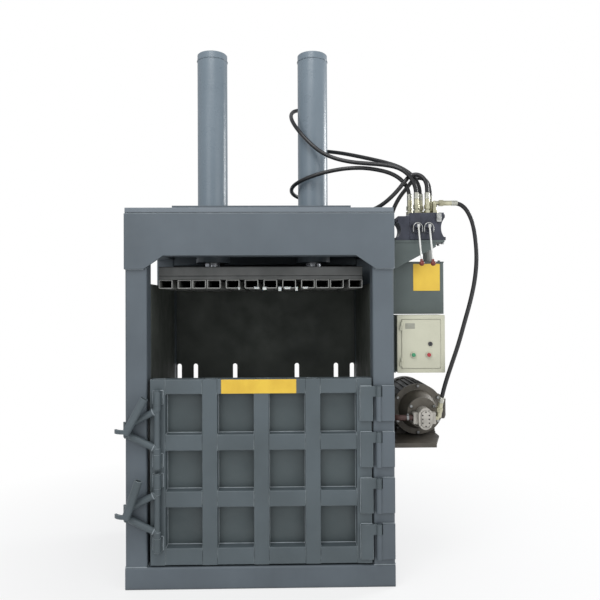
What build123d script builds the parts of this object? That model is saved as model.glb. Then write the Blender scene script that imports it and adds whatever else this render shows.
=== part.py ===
from build123d import *
import math
import os

os.makedirs("parts", exist_ok=True)

# Vertical recycling baler, millimetres. Origin on the floor at the centre of the frame's footprint,
# Z up, the loading door faces -Y. The upper frame carries two hydraulic cylinders that push the platen
# down, and the power unit hangs on the right side (+X).

# Frame
frame_width = 1340
frame_depth = 880
frame_height = 1895
base_height = 112
base_proud = 6
post_width = 108
post_depth = 105
section_wall = 8
section_corner = 11
top_plate_thickness = 25
top_plate_overhang = 6
top_beam_height = 215
side_top_beam_height = 180
header_thickness = 12
header_side_lap = 3
header_height = 211
ear_height = 278
ear_chamfer = (97, 67)
header_weld_gap = 4

# Chamber
side_wall_thickness = 8
side_wall_drop = 377
rear_wall_thickness = 10
rear_wall_setback = 31
floor_thickness = 12
floor_bar_height = 20
slot_width = 27
slot_top = 1042
slot_bottom = 200
stiffener_height = 60
stiffener_count = 4
stiffener_foot_gap = 188
stiffener_head_gap = 78
rear_stiffener_gap = 48

# Platen
platen_drop = 400
platen_side_clearance = 36
platen_front_clearance = 115
platen_rear_clearance = 20
strap_gap = 27.5
tube_height = 45
tube_wall = 4
tube_corner = 6
tube_joint = 5
tube_groups = (1, 3, 1, 1, 1, 1, 3, 1)
deck_thickness = 18
platen_channel = 50
platen_channel_wall = 5

# Cylinders
cylinder_spacing = 568
barrel_outer = 168
barrel_bore = 140
barrel_above = 895
barrel_below = 205
cap_thickness = 37
gland_height = 45
gland_diameter = 190
rod_diameter = 90
piston_height = 80
running_clearance = 0.05
mount_pad_thickness = 18
mount_plate_thickness = 30
mount_plate_length = 960
mount_plate_depth = 400
barrel_passage = 4
rod_flange_diameter = 170
rod_flange_thickness = 28
pipe_diameter = 18
pipe_bend = 30
cap_pipe_offset = 50
rod_pipe_offset = 84
rod_port_drop = 120
rod_riser_rise = 155
cap_tee_rises = (665, 420)

# Door
door_sill_gap = 8
door_height = 920
door_left_gap = 14
door_right_gap = 6
door_rib_depth = 60
door_sheet_thickness = 10
upright_width = 76
top_rail_height = 74
rail_height = 80
bottom_rail_height = 84
rib_wall = 5
rib_corner = 5

# Door hinges
hinge_height = 173
hinge_pitch = 228.5
hinge_top_inset = 38.5
knuckle_radius = 14
hinge_pin_radius = 8
leaf_thickness = 16
leaf_width = 62
hinge_offset = 26
door_knuckle_height = 52
knuckle_gap = 0.5
post_leaf_gap = 4
door_leaf_gap = 28

# Door locks
lock_heights = (676, 266)
lock_inset = 40
sleeve_radius = 19
sleeve_height = 68
sleeve_spread = 122
sleeve_pad = (50, 6)
lock_pin_radius = 15
lock_pin_overhang = 6
arm_bar_radius = 17
arm_spread = 95
arm_hub_radius = 18
arm_hub_height = 30
lever_axis_inset = 14
lever_shaft_radius = 9
lever_knuckle_radius = 16
lever_knuckle_height = 24
claw_height = 20
claw_inner = 49
claw_thickness = 11
claw_angles = (209, 279)
keeper_size = (10, 8, 70)
keeper_setback = 2
lever_pipe_radius = 20
lever_pipe_wall = 4
lever_pipe_length = 195
lever_pipe_stand_off = 42
lever_pipe_drop = 12
lever_leans = (28, 19)

# Power unit on the right side, placed from the frame's side, front and top
tank_width = 286
tank_depth = 600
tank_height = 268
tank_setback = 140
tank_drop = 269
tank_wall = 4
tank_lid_thickness = 6
filler_place = (247, 200)
filler_radius = 25
filler_height = 80
valve_side_gap = 40.5
valve_widths = (60, 56, 56, 62)
valve_joint = 1.5
valve_depth = 118
valve_height = 143
valve_drop = 155
valve_corner = 6
port_stagger = 13
port_insets = (35, 33)
bracket_thickness = 12
bracket_reach = 280
fitting_rise = 77
hose_diameter = 22
ferrule_radius = 13
nut_width = 30
lever_pivot_drop = 71
lever_pivot_reach = 18
hand_lever_shaft = 5
lever_rod_radius = 4.5
lever_rod_length = 205
lever_lean = 21
knob_radius = 13
box_side_gap = 33
box_width = 247
box_height = 298
box_depth = 150
box_drop = 840
box_wall = 2
box_rim = 22
box_door_gap = 1.5
box_door_depth = 12
box_door_proud = 3
button_radius = 10
button_insets = ((82.6, 92.7), (162, 92.7))
box_lock_inset = (170, 149)
unit_setback = 100
motor_side_gap = 180
motor_setback = 322
motor_length = 336
motor_radius = 128
motor_fin = 10
fin_count = 30
shaft_height = 132
shelf_drop = 1203
shelf_thickness = 8
shelf_width = 290
shelf_front_width = 235
shelf_rear_lap = 44
foot_rail = 10
rail_spread = 82
shaft_radius = 19
bell_length = 122
flange_radius = 138
pump_length = 80
pump_radius = 36
pump_port_reach = 22
pump_gear_spacing = 40
pump_shaft_radius = 11
suction_radius = 15
suction_side_gap = 24
suction_setback = 380

# Worked out from the sizes above
front_y = -frame_depth / 2
rear_y = frame_depth / 2
post_inner = frame_width / 2 - post_width
post_outer = frame_width / 2
front_post_back = front_y + post_depth
rear_post_front = rear_y - post_depth
plate_bottom = frame_height - top_plate_thickness
header_top = plate_bottom - header_weld_gap
rear_wall_y = rear_y - rear_wall_setback
floor_top = base_height + floor_thickness
side_wall_top = frame_height - side_wall_drop
platen_bottom = frame_height - platen_drop
platen_width = 2 * (post_inner - platen_side_clearance)
platen_front = front_y + platen_front_clearance
platen_rear = rear_wall_y - platen_rear_clearance
tube_top = platen_bottom + tube_height
deck_top = tube_top + deck_thickness
mount_top = frame_height + mount_pad_thickness + mount_plate_thickness
cylinder_x = cylinder_spacing / 2
barrel_top = frame_height + barrel_above
barrel_bottom = frame_height - barrel_below
rod_port_height = frame_height - rod_port_drop
door_bottom = base_height + door_sill_gap
door_top = door_bottom + door_height
frame_side = post_outer
unit_front = front_y + unit_setback
tank_front = front_y + tank_setback
tank_rear = tank_front + tank_depth
tank_top = frame_height - tank_drop
tank_bottom = tank_top - tank_height
valve_left = frame_side + valve_side_gap
valve_front = unit_front
valve_rear = valve_front + valve_depth
valve_bottom = frame_height - valve_drop
valve_top = valve_bottom + valve_height
lever_pivot_height = valve_top - lever_pivot_drop
lever_pivot_y = valve_front - lever_pivot_reach
port_front = valve_front + port_insets[0]
port_rear = valve_rear - port_insets[1]
fitting_top = valve_top + fitting_rise
box_left = frame_side + box_side_gap
box_front = unit_front
box_bottom = frame_height - box_drop
shelf_top = frame_height - shelf_drop
shelf_front = unit_front
motor_x = frame_side + motor_side_gap
motor_front = front_y + motor_setback
motor_rear = motor_front + motor_length
shelf_rear = motor_rear + shelf_rear_lap
shaft_z = shelf_top + foot_rail + shaft_height


def block(x0, x1, y0, y1, z0, z1):
    return Pos((x0 + x1) / 2, (y0 + y1) / 2, (z0 + z1) / 2) * Box(x1 - x0, y1 - y0, z1 - z0)


def section_plane(axis, start):
    if axis == "X":
        return Plane(origin=(start, 0, 0), x_dir=(0, 1, 0), z_dir=(1, 0, 0))
    if axis == "Y":
        return Plane(origin=(0, start, 0), x_dir=(-1, 0, 0), z_dir=(0, 1, 0))
    return Plane(origin=(0, 0, start), x_dir=(1, 0, 0), z_dir=(0, 0, 1))


def hollow_section(axis, start, end, u0, u1, v0, v1, wall, corner):
    """A rolled rectangular tube along one axis; u and v are the other two axes in X, Y, Z order."""
    mirror_u = -1 if axis == "Y" else 1
    centre = (mirror_u * (u0 + u1) / 2, (v0 + v1) / 2)
    outer = Pos(*centre) * RectangleRounded(u1 - u0, v1 - v0, corner)
    inner = Pos(*centre) * Rectangle(u1 - u0 - 2 * wall, v1 - v0 - 2 * wall)
    return extrude(section_plane(axis, start) * (outer - inner), end - start)


def rod_along(axis, radius, start, end, a, b):
    """A round bar along one axis; a and b place it on the other two axes in X, Y, Z order."""
    mirror_a = -1 if axis == "Y" else 1
    return extrude(section_plane(axis, start) * (Pos(mirror_a * a, b) * Circle(radius)), end - start)


def hex_along(axis, width, start, end, a, b):
    mirror_a = -1 if axis == "Y" else 1
    profile = Pos(mirror_a * a, b) * RegularPolygon(width / math.sqrt(3), 6)
    return extrude(section_plane(axis, start) * profile, end - start)


def bar_between(radius, start, end):
    path = Line(start, end)
    return extrude(Plane(origin=start, z_dir=path % 0) * Circle(radius), path.length)


def bent_tube(points, radius, bends):
    path = FilletPolyline(*points, radius=bends)
    return sweep(Plane(origin=path @ 0, z_dir=path % 0) * Circle(radius), path=path)


def cord_radii(points):
    """Each corner's arc is as large as its two runs allow."""
    radii = []
    for before, corner, after in zip(points, points[1:], points[2:]):
        into = Vector(*corner) - Vector(*before)
        out = Vector(*after) - Vector(*corner)
        half_turn = math.radians(into.get_angle(out)) / 2
        radii.append(0.45 * min(into.length, out.length) / math.tan(half_turn))
    return radii


def save(node, *solids):
    shape = solids[0] if len(solids) == 1 else Compound(children=list(solids))
    export_step(shape, f"parts/{node}.step")


# Base: a rounded rectangular tube across the front, rails along the sides and the back
save("front_base_beam", hollow_section("X", -frame_width / 2, frame_width / 2, front_y - base_proud,
                                       front_post_back, 0, base_height, section_wall, section_corner))
base_rails = [hollow_section("X", -frame_width / 2, frame_width / 2, rear_post_front, rear_y,
                             0, base_height, section_wall, section_corner)]
for side in (-1, 1):
    inner, outer = sorted((side * post_inner, side * post_outer))
    base_rails.append(hollow_section("Y", front_post_back, rear_post_front, inner, outer,
                                     0, base_height, section_wall, section_corner))
base_rails.append(hollow_section("X", -post_inner, post_inner, -post_width / 2, post_width / 2,
                                 0, base_height, section_wall, section_corner))
save("base_rails", *base_rails)

# Posts
for name, y0, y1 in (("front_posts", front_y, front_post_back), ("rear_posts", rear_post_front, rear_y)):
    posts = []
    for side in (-1, 1):
        inner, outer = sorted((side * post_inner, side * post_outer))
        posts.append(hollow_section("Z", base_height, plate_bottom, inner, outer, y0, y1,
                                    section_wall, section_corner))
    save(name, *posts)

# Header plate: laid over the posts and the front top beam, with ears that run down the posts
ear_bottom = header_top - ear_height
opening_top = header_top - header_height
header_half = post_outer + header_side_lap
ear_inner = post_inner + 15
notch_half = ear_inner - ear_chamfer[0]
header_outline = Polyline((-header_half, header_top), (header_half, header_top), (header_half, ear_bottom),
                          (ear_inner, ear_bottom), (notch_half, opening_top), (-notch_half, opening_top),
                          (-ear_inner, ear_bottom), (-header_half, ear_bottom), close=True)
header_face = make_face(header_outline)
header_plane = Plane(origin=(0, front_y, 0), x_dir=(1, 0, 0), z_dir=(0, -1, 0))
save("header_plate", chamfer(extrude(header_plane * header_face, header_thickness)
                             .faces().sort_by(Axis.Y)[0].edges(), 1.5))

# Top beams between the posts and the top plate over them
beam_bottom = plate_bottom - top_beam_height
side_beam_bottom = plate_bottom - side_top_beam_height
top_beams = [
    hollow_section("X", -post_inner, post_inner, front_y, front_post_back, beam_bottom, plate_bottom,
                   section_wall, section_corner),
    hollow_section("X", -post_inner, post_inner, rear_post_front, rear_y, beam_bottom, plate_bottom,
                   section_wall, section_corner),
]
for side in (-1, 1):
    inner, outer = sorted((side * post_inner, side * post_outer))
    top_beams.append(hollow_section("Y", front_post_back, rear_post_front, inner, outer,
                                    side_beam_bottom, plate_bottom, section_wall, section_corner))
save("top_beams", *top_beams)

rod_pipe_y = barrel_outer / 2 + rod_pipe_offset
rod_riser_x = cylinder_x
bulkhead_x = post_inner - 22
pipe_hole = pipe_diameter / 2 + 5
top_plate = block(-frame_width / 2, frame_width / 2, front_y - top_plate_overhang, rear_y,
                  plate_bottom, frame_height)
for side in (-1, 1):
    top_plate -= rod_along("Z", barrel_outer / 2 + barrel_passage, plate_bottom, frame_height,
                           side * cylinder_x, 0)
for x in (rod_riser_x, bulkhead_x):
    top_plate -= rod_along("Z", pipe_hole, plate_bottom, frame_height, x, rod_pipe_y)
save("top_plate", fillet(top_plate.edges().filter_by(Axis.X).group_by(Axis.Y)[0], 3))

# Platen tubes: groups side by side with a strap gap between them
tube_total = sum(tube_groups)
joints_in_groups = tube_total - len(tube_groups)
strap_gap_total = (len(tube_groups) - 1) * strap_gap
tube_width = (platen_width - strap_gap_total - joints_in_groups * tube_joint) / tube_total
tube_starts = []
strap_gap_centres = []
cursor = -platen_width / 2
for group_number, group in enumerate(tube_groups):
    for number in range(group):
        tube_starts.append(cursor)
        cursor += tube_width + (tube_joint if number < group - 1 else 0)
    if group_number < len(tube_groups) - 1:
        strap_gap_centres.append(cursor + strap_gap / 2)
        cursor += strap_gap
save("platen_tubes", *[hollow_section("Y", platen_front, platen_rear, x, x + tube_width, platen_bottom,
                                      tube_top, tube_wall, tube_corner) for x in tube_starts])
save("platen_deck", block(-platen_width / 2, platen_width / 2, platen_front, platen_rear, tube_top, deck_top))

channel_top = deck_top + platen_channel
channel_rows = (platen_front, -130 - platen_channel, 130, platen_rear - platen_channel)
channels = [hollow_section("X", -platen_width / 2, platen_width / 2, y, y + platen_channel, deck_top,
                           channel_top, platen_channel_wall, tube_corner) for y in channel_rows]
for side in (-1, 1):
    inner, outer = sorted((side * (platen_width / 2 - platen_channel), side * platen_width / 2))
    for y0, y1 in zip(channel_rows, channel_rows[1:]):
        channels.append(hollow_section("Y", y0 + platen_channel, y1, inner, outer, deck_top, channel_top,
                                       platen_channel_wall, tube_corner))
save("platen_channels", *channels)

# Chamber: floor with bars between strap grooves, side walls, slotted rear wall and outer stiffeners
floor = [block(-post_inner, post_inner, front_y + door_rib_depth + door_sheet_thickness + 6, rear_wall_y,
               base_height, floor_top)]
for x in tube_starts:
    floor.append(block(x, x + tube_width, platen_front, platen_rear, floor_top, floor_top + floor_bar_height))
save("chamber_floor", *floor)

side_walls = []
for side in (-1, 1):
    inner, outer = sorted((side * post_inner, side * (post_inner + side_wall_thickness)))
    side_walls.append(block(inner, outer, front_post_back, rear_post_front, base_height, side_wall_top))
save("side_walls", *side_walls)

outer_gap = (platen_width / 2 + post_inner) / 2
slot_centres = (-outer_gap, strap_gap_centres[0], strap_gap_centres[1], strap_gap_centres[-2],
                strap_gap_centres[-1], outer_gap)
rear_wall = block(-post_inner, post_inner, rear_wall_y, rear_wall_y + rear_wall_thickness,
                  base_height, beam_bottom)
slot_profile_height = slot_top - slot_bottom
for x in slot_centres:
    slot = Pos(-x, (slot_top + slot_bottom) / 2) * SlotOverall(slot_profile_height, slot_width, rotation=90)
    rear_wall -= extrude(section_plane("Y", rear_wall_y) * slot, rear_wall_thickness)
save("rear_wall", rear_wall)

stiffeners = []
lowest_stiffener = base_height + stiffener_foot_gap
stiffener_step = (side_wall_top - stiffener_head_gap - lowest_stiffener) / (stiffener_count - 1)
for level in [lowest_stiffener + number * stiffener_step for number in range(stiffener_count)]:
    for side in (-1, 1):
        inner, outer = sorted((side * (post_inner + side_wall_thickness), side * post_outer))
        stiffeners.append(hollow_section("Y", front_post_back, rear_post_front, inner, outer,
                                         level - stiffener_height / 2, level + stiffener_height / 2,
                                         section_wall, section_corner / 2))
over_slots = slot_top + rear_stiffener_gap
for level in (base_height + rear_stiffener_gap, over_slots, (over_slots + beam_bottom) / 2):
    stiffeners.append(block(-post_inner, post_inner, rear_wall_y + rear_wall_thickness, rear_y,
                            level - stiffener_height / 2, level + stiffener_height / 2))
save("wall_stiffeners", *stiffeners)

# Cylinder mounting: two flat pads on the top plate and a thick plate that the barrels are welded into
pad_width = 80
mount = []
for y in (-mount_plate_depth / 2, mount_plate_depth / 2 - pad_width):
    pad = block(-mount_plate_length / 2, mount_plate_length / 2, y, y + pad_width, frame_height,
                frame_height + mount_pad_thickness)
    mount.append(pad - rod_along("Z", pipe_hole, frame_height, mount_top, rod_riser_x, rod_pipe_y))
mount_plate = block(-mount_plate_length / 2, mount_plate_length / 2, -mount_plate_depth / 2,
                    mount_plate_depth / 2, frame_height + mount_pad_thickness, mount_top)
for side in (-1, 1):
    mount_plate -= rod_along("Z", barrel_outer / 2, frame_height, mount_top, side * cylinder_x, 0)
mount_plate -= rod_along("Z", pipe_hole, frame_height, mount_top, rod_riser_x, rod_pipe_y)
mount.append(mount_plate)
save("cylinder_mount", *mount)

# Hydraulic cylinders: barrel, cap, gland, rod and piston
barrels = []
ends = []
rods = []
flanges = []
piston_top = barrel_top - 10
piston_bottom = piston_top - piston_height
rod_foot = deck_top + rod_flange_thickness
barrel_radius = barrel_outer / 2
cap_port_z = barrel_top + cap_thickness / 2
for side in (-1, 1):
    x = side * cylinder_x
    barrel = rod_along("Z", barrel_radius, barrel_bottom, barrel_top, x, 0)
    barrel -= rod_along("Z", barrel_bore / 2, barrel_bottom, barrel_top, x, 0)
    barrels.append(barrel)
    cap = rod_along("Z", barrel_radius, barrel_top, barrel_top + cap_thickness, x, 0)
    ends.append(chamfer(cap.edges().group_by(Axis.Z)[-1], 4))
    gland = rod_along("Z", gland_diameter / 2, barrel_bottom - gland_height, barrel_bottom, x, 0)
    gland -= rod_along("Z", rod_diameter / 2 + running_clearance, barrel_bottom - gland_height, barrel_bottom,
                       x, 0)
    ends.append(chamfer(gland.edges().group_by(Axis.Z)[0], 3))
    rods.append(rod_along("Z", rod_diameter / 2, rod_foot, piston_bottom, x, 0))
    rods.append(rod_along("Z", barrel_bore / 2 - 2 * running_clearance, piston_bottom, piston_top, x, 0))
    flange = rod_along("Z", rod_flange_diameter / 2, deck_top, rod_foot, x, 0)
    flanges.append(chamfer(flange.edges().group_by(Axis.Z)[-1], 3))
    for turn in range(6):
        angle = math.radians(60 * turn + 30)
        reach = rod_flange_diameter / 2 - 18
        flanges.append(hex_along("Z", 24, rod_foot, rod_foot + 13, x + reach * math.cos(angle),
                                 reach * math.sin(angle)))
save("cylinder_barrels", *barrels)
save("cylinder_ends", *ends)
save("cylinder_rods", *rods)
save("rod_flanges", *flanges)

# Oil pipes: the cap ends are joined by one bent pipe, the rod ends by a manifold under the top plate
cap_pipe_y = barrel_radius + cap_pipe_offset
pipe_radius = pipe_diameter / 2
cap_pipe = bent_tube([(-cylinder_x, barrel_radius, cap_port_z), (-cylinder_x, cap_pipe_y, cap_port_z),
                      (-cylinder_x, cap_pipe_y, mount_top + 32), (cylinder_x, cap_pipe_y, mount_top + 32),
                      (cylinder_x, cap_pipe_y, cap_port_z), (cylinder_x, barrel_radius, cap_port_z)],
                     pipe_radius, [pipe_bend - 2, pipe_bend, pipe_bend, pipe_bend - 2])
cap_tees = [frame_height + rise for rise in cap_tee_rises]
for z in cap_tees:
    cap_pipe += block(cylinder_x - 20, cylinder_x + 20, cap_pipe_y - 18, cap_pipe_y + 18, z - 20, z + 20)
rod_riser_top = frame_height + rod_riser_rise
rod_pipe = bent_tube([(-cylinder_x, barrel_radius, rod_port_height),
                      (-cylinder_x, rod_pipe_y, rod_port_height),
                      (bulkhead_x, rod_pipe_y, rod_port_height),
                      (bulkhead_x, rod_pipe_y, frame_height)], pipe_radius, [pipe_bend, pipe_bend])
rod_pipe += rod_along("Y", pipe_radius, barrel_radius, rod_pipe_y, cylinder_x, rod_port_height)
rod_pipe += rod_along("Z", pipe_radius, rod_port_height, rod_riser_top, rod_riser_x, rod_pipe_y)
rod_pipe += block(rod_riser_x - 18, rod_riser_x + 18, rod_pipe_y - 16, rod_pipe_y + 18, rod_riser_top - 38,
                  rod_riser_top)
save("cylinder_pipes", cap_pipe, rod_pipe)

# Door: five uprights and four rows of rails welded to a sheet
door_left = -post_inner + door_left_gap
door_right = post_inner - door_right_gap
rib_back = front_y + door_rib_depth
save("door_sheet", block(door_left, door_right, rib_back, rib_back + door_sheet_thickness, door_bottom,
                         door_top))
recess_width = (door_right - door_left - 5 * upright_width) / 4
recess_height = (door_top - door_bottom - top_rail_height - 2 * rail_height - bottom_rail_height) / 3
upright_starts = [door_left + number * (upright_width + recess_width) for number in range(5)]
rail_spans = [(door_bottom, door_bottom + bottom_rail_height)]
for number in range(2):
    start = rail_spans[-1][1] + recess_height
    rail_spans.append((start, start + rail_height))
rail_spans.append((door_top - top_rail_height, door_top))
door_frame = [hollow_section("Z", door_bottom, door_top, x, x + upright_width, front_y, rib_back, rib_wall,
                             rib_corner) for x in upright_starts]
for x in upright_starts[:-1]:
    for z0, z1 in rail_spans:
        door_frame.append(hollow_section("X", x + upright_width, x + upright_width + recess_width, front_y,
                                         rib_back, z0, z1, rib_wall, rib_corner))
save("door_frame", *door_frame)

# Hinges: lift-off block hinges; the post's long knuckle carries the pin and the door's short one sits on it
hinge_x = post_inner + hinge_offset
hinge_y = front_y - knuckle_radius - 1
leaf_front = front_y - leaf_thickness
post_leaves = []
door_leaves = []
hinge_pins = []
pin_clearance = hinge_pin_radius + running_clearance
for number in range(4):
    top = door_top - hinge_top_inset - number * hinge_pitch
    bottom = top - hinge_height
    seat = top - door_knuckle_height
    post_seat = seat - knuckle_gap
    leaf_edge = hinge_x + knuckle_radius + post_leaf_gap
    leaf = block(leaf_edge, leaf_edge + leaf_width, leaf_front, front_y, bottom, top)
    leaf += block(hinge_x, leaf_edge, leaf_front, front_y, bottom, post_seat)
    leaf += rod_along("Z", knuckle_radius, bottom, post_seat, hinge_x, hinge_y)
    leaf -= rod_along("Z", hinge_pin_radius, bottom, post_seat, hinge_x, hinge_y)
    post_leaves.append(leaf)
    leaf_edge = hinge_x - door_leaf_gap
    leaf = block(leaf_edge - leaf_width, leaf_edge, leaf_front, front_y, bottom, top)
    leaf += block(leaf_edge, hinge_x, leaf_front, front_y - 3, seat, top)
    leaf += rod_along("Z", knuckle_radius, seat, top, hinge_x, hinge_y)
    leaf -= rod_along("Z", pin_clearance, seat, top, hinge_x, hinge_y)
    door_leaves.append(leaf)
    hinge_pins.append(rod_along("Z", hinge_pin_radius, bottom, top + 3, hinge_x, hinge_y))
save("post_hinge_leaves", *post_leaves)
save("door_hinge_leaves", *door_leaves)
save("hinge_pins", *hinge_pins)

# Locks: a vertical pin turns in two sleeves on the door and carries a V-shaped arm. Between the two knuckles
# at the arm's tip turns a lever: its claw grips behind the keeper on the post's outer side, and its pipe
# handle stands in front of the arm
lock_pin_x = door_left + lock_inset
lock_pin_y = front_y - sleeve_pad[1] - sleeve_radius
claw_x = -post_outer + lever_axis_inset
claw_y = lock_pin_y
knuckle_start = claw_height / 2 + 0.3
sleeves = []
keepers = []
for height, name, lever_lean_angle in zip(lock_heights, ("upper", "lower"), lever_leans):
    level = door_bottom + height
    for z0 in (level + sleeve_spread, level - sleeve_spread - sleeve_height):
        sleeve = rod_along("Z", sleeve_radius, z0, z0 + sleeve_height, lock_pin_x, lock_pin_y)
        sleeve += block(lock_pin_x - sleeve_pad[0] / 2, lock_pin_x + sleeve_pad[0] / 2,
                        front_y - sleeve_pad[1], front_y, z0, z0 + sleeve_height)
        sleeve += block(lock_pin_x - sleeve_radius, lock_pin_x + sleeve_radius, lock_pin_y,
                        front_y - sleeve_pad[1], z0, z0 + sleeve_height)
        sleeve -= rod_along("Z", lock_pin_radius + running_clearance, z0, z0 + sleeve_height, lock_pin_x,
                            lock_pin_y)
        sleeves.append(sleeve)
    pin_half = sleeve_spread + sleeve_height + lock_pin_overhang
    arm = rod_along("Z", lock_pin_radius, level - pin_half, level + pin_half, lock_pin_x, lock_pin_y)
    for side in (-1, 1):
        hub_end = level + side * (sleeve_spread - 0.4)
        hub_start, hub_stop = sorted((hub_end, hub_end - side * arm_hub_height))
        arm += rod_along("Z", arm_hub_radius, hub_start, hub_stop, lock_pin_x, lock_pin_y)
        knuckle_middle = level + side * (knuckle_start + lever_knuckle_height / 2)
        arm += bar_between(arm_bar_radius, (lock_pin_x, lock_pin_y, level + side * arm_spread),
                           (claw_x, claw_y, knuckle_middle))
        k0, k1 = sorted((level + side * knuckle_start, level + side * (knuckle_start + lever_knuckle_height)))
        arm += rod_along("Z", lever_knuckle_radius, k0, k1, claw_x, claw_y)
    knuckle_end = knuckle_start + lever_knuckle_height
    arm -= rod_along("Z", lever_shaft_radius + running_clearance, level - arm_spread, level + arm_spread,
                     claw_x, claw_y)
    for z0, z1 in ((level - arm_spread, level - knuckle_end), (level - knuckle_start, level + knuckle_start),
                   (level + knuckle_end, level + arm_spread)):
        arm -= rod_along("Z", lever_knuckle_radius + 1, z0, z1, claw_x, claw_y)
    save(f"{name}_lock_arm", arm)

    lever = rod_along("Z", lever_knuckle_radius, level - claw_height / 2, level + claw_height / 2, claw_x,
                      claw_y)
    lever += rod_along("Z", lever_shaft_radius, level - knuckle_end - 4, level + knuckle_end + 4, claw_x,
                       claw_y)
    for z0 in (level - knuckle_end - 5, level + knuckle_end + 1):
        lever += rod_along("Z", lever_shaft_radius + 4, z0, z0 + 4, claw_x, claw_y)
    claw_outer = claw_inner + claw_thickness
    start, stop = (math.radians(angle) for angle in claw_angles)
    arcs = []
    for radius, angles in ((claw_inner, (start, (start + stop) / 2, stop)),
                           (claw_outer, (stop, (start + stop) / 2, start))):
        arcs.append(ThreePointArc(*[(radius * math.cos(a), radius * math.sin(a)) for a in angles]))
    inner_arc, outer_arc = arcs
    claw_face = make_face([inner_arc, Line(inner_arc @ 1, outer_arc @ 0), outer_arc,
                           Line(outer_arc @ 1, inner_arc @ 0)])
    web = Rectangle(claw_inner, claw_thickness)
    web = Rot(0, 0, math.degrees(stop) - 9) * (Pos(claw_inner / 2 + 4, 0) * web)
    claw_plane = Plane(origin=(claw_x, claw_y, level - claw_height / 2))
    lever += extrude(claw_plane * claw_face, claw_height)
    lever += extrude(claw_plane * web, claw_height)

    handle_y = claw_y - lever_pipe_stand_off
    lever += block(claw_x - 8, claw_x + 12, handle_y + 8, claw_y - 8, level - claw_height / 2,
                   level + claw_height / 2)
    lean = math.radians(lever_lean_angle)
    pipe_base = (claw_x + 4, handle_y, level - lever_pipe_drop)
    pipe_end = (pipe_base[0] + lever_pipe_length * math.sin(lean), handle_y,
                pipe_base[2] + lever_pipe_length * math.cos(lean))
    pipe_start = tuple(b + 0.18 * (e - b) for b, e in zip(pipe_base, pipe_end))
    lever += bar_between(lever_pipe_radius, pipe_base, pipe_end)
    lever -= bar_between(lever_pipe_radius - lever_pipe_wall, pipe_start, pipe_end)
    save(f"{name}_lock_lever", lever)
    keeper_back = front_y + keeper_setback
    keepers.append(block(-post_outer - keeper_size[0], -post_outer, keeper_back, keeper_back + keeper_size[1],
                         level - keeper_size[2] / 2, level + keeper_size[2] / 2))
save("lock_sleeves", *sleeves)
save("lock_keepers", *keepers)

# Valve bracket: a shelf with two gussets on the tank side of the frame, and a post for the control box
shelf_bottom = valve_bottom - bracket_thickness
bracket = [block(frame_side, frame_side + bracket_reach, valve_front - 5, valve_rear + 17,
                 shelf_bottom, valve_bottom)]
gusset_reach = bracket_reach - 45
tank_lid_top = tank_top + tank_lid_thickness
for y, foot in ((valve_front - 5, shelf_bottom - 148), (valve_rear + 5, tank_lid_top + 18)):
    gusset = Polyline((frame_side, shelf_bottom), (frame_side + gusset_reach, shelf_bottom),
                      (frame_side + gusset_reach, shelf_bottom - 23), (frame_side, foot), close=True)
    gusset_plane = Plane(origin=(0, y, 0), x_dir=(1, 0, 0), z_dir=(0, -1, 0))
    bracket.append(extrude(gusset_plane * make_face(gusset), -bracket_thickness))
box_bracket_front = box_front + 40
bracket.append(hollow_section("Z", box_bottom - 3, box_bottom + box_height - 1, frame_side, box_left,
                              box_bracket_front, box_bracket_front + 70, 3, 4))
save("valve_bracket", *bracket)

# Valve: two spool sections between an end section and an inlet section, with thin seal plates
valve_solids = []
section_starts = []
cursor = valve_left
for number, width in enumerate(valve_widths):
    section_starts.append(cursor)
    cursor += width
    if number < len(valve_widths) - 1:
        valve_solids.append(block(cursor, cursor + valve_joint, valve_front + 3, valve_rear - 3,
                                  valve_bottom + 3, valve_top - 3))
        cursor += valve_joint
valve_right = cursor
section_centres = [start + width / 2 for start, width in zip(section_starts, valve_widths)]
for start, width in zip(section_starts[1:3], valve_widths[1:3]):
    spool_section = block(start, start + width, valve_front, valve_rear, valve_bottom, valve_top)
    valve_solids.append(fillet(spool_section.edges().filter_by(Axis.X), valve_corner))
end_plane = Plane(origin=(0, valve_front, 0), x_dir=(1, 0, 0), z_dir=(0, -1, 0))
foot_reach = 9
foot_height = 17
left_inner_x = section_starts[0] + valve_widths[0]
for outward, inner_x, outer_x, top in ((-1, left_inner_x, section_starts[0], valve_top - 18),
                                       (1, section_starts[3], valve_right, valve_top)):
    foot_x = outer_x + outward * foot_reach
    foot_z = valve_bottom + foot_height
    waist = (outer_x - outward * 15, (valve_bottom + top) / 2 - 8)
    foot_line = Polyline((outer_x, top - 32), (outer_x, top), (inner_x, top), (inner_x, valve_bottom),
                         (foot_x, valve_bottom), (foot_x, foot_z), (outer_x, foot_z))
    waist_line = ThreePointArc((outer_x, foot_z), waist, (outer_x, top - 32))
    valve_solids.append(extrude(end_plane * make_face([foot_line, waist_line]), valve_front - valve_rear))
    tie_x = outer_x if outward > 0 else outer_x - 8
    for y in (valve_front + 22, valve_rear - 22):
        valve_solids.append(hex_along("X", 19, tie_x, tie_x + 8, y, top - 16))
plug_x = section_centres[3] + 3
valve_solids.append(block(plug_x - 12, plug_x + 12, valve_front - 14, valve_front,
                          valve_top - 48, valve_top - 6))

# Each spool section carries a round cap and a cross tube that the hand lever's shaft turns in
hub_offset = port_stagger
for centre in section_centres[1:3]:
    cap = rod_along("Y", 19, valve_front - 6, valve_front, centre, lever_pivot_height - 16)
    cap += block(centre - 16, centre + 5, lever_pivot_y, valve_front, lever_pivot_height - 10,
                 lever_pivot_height + 10)
    cap += rod_along("X", 10, centre - 16, centre + 5, lever_pivot_y, lever_pivot_height)
    cap -= rod_along("X", hand_lever_shaft + running_clearance, centre - 14, centre + 5, lever_pivot_y,
                     lever_pivot_height)
    valve_solids.append(cap)
save("valve_body", *valve_solids)

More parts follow.
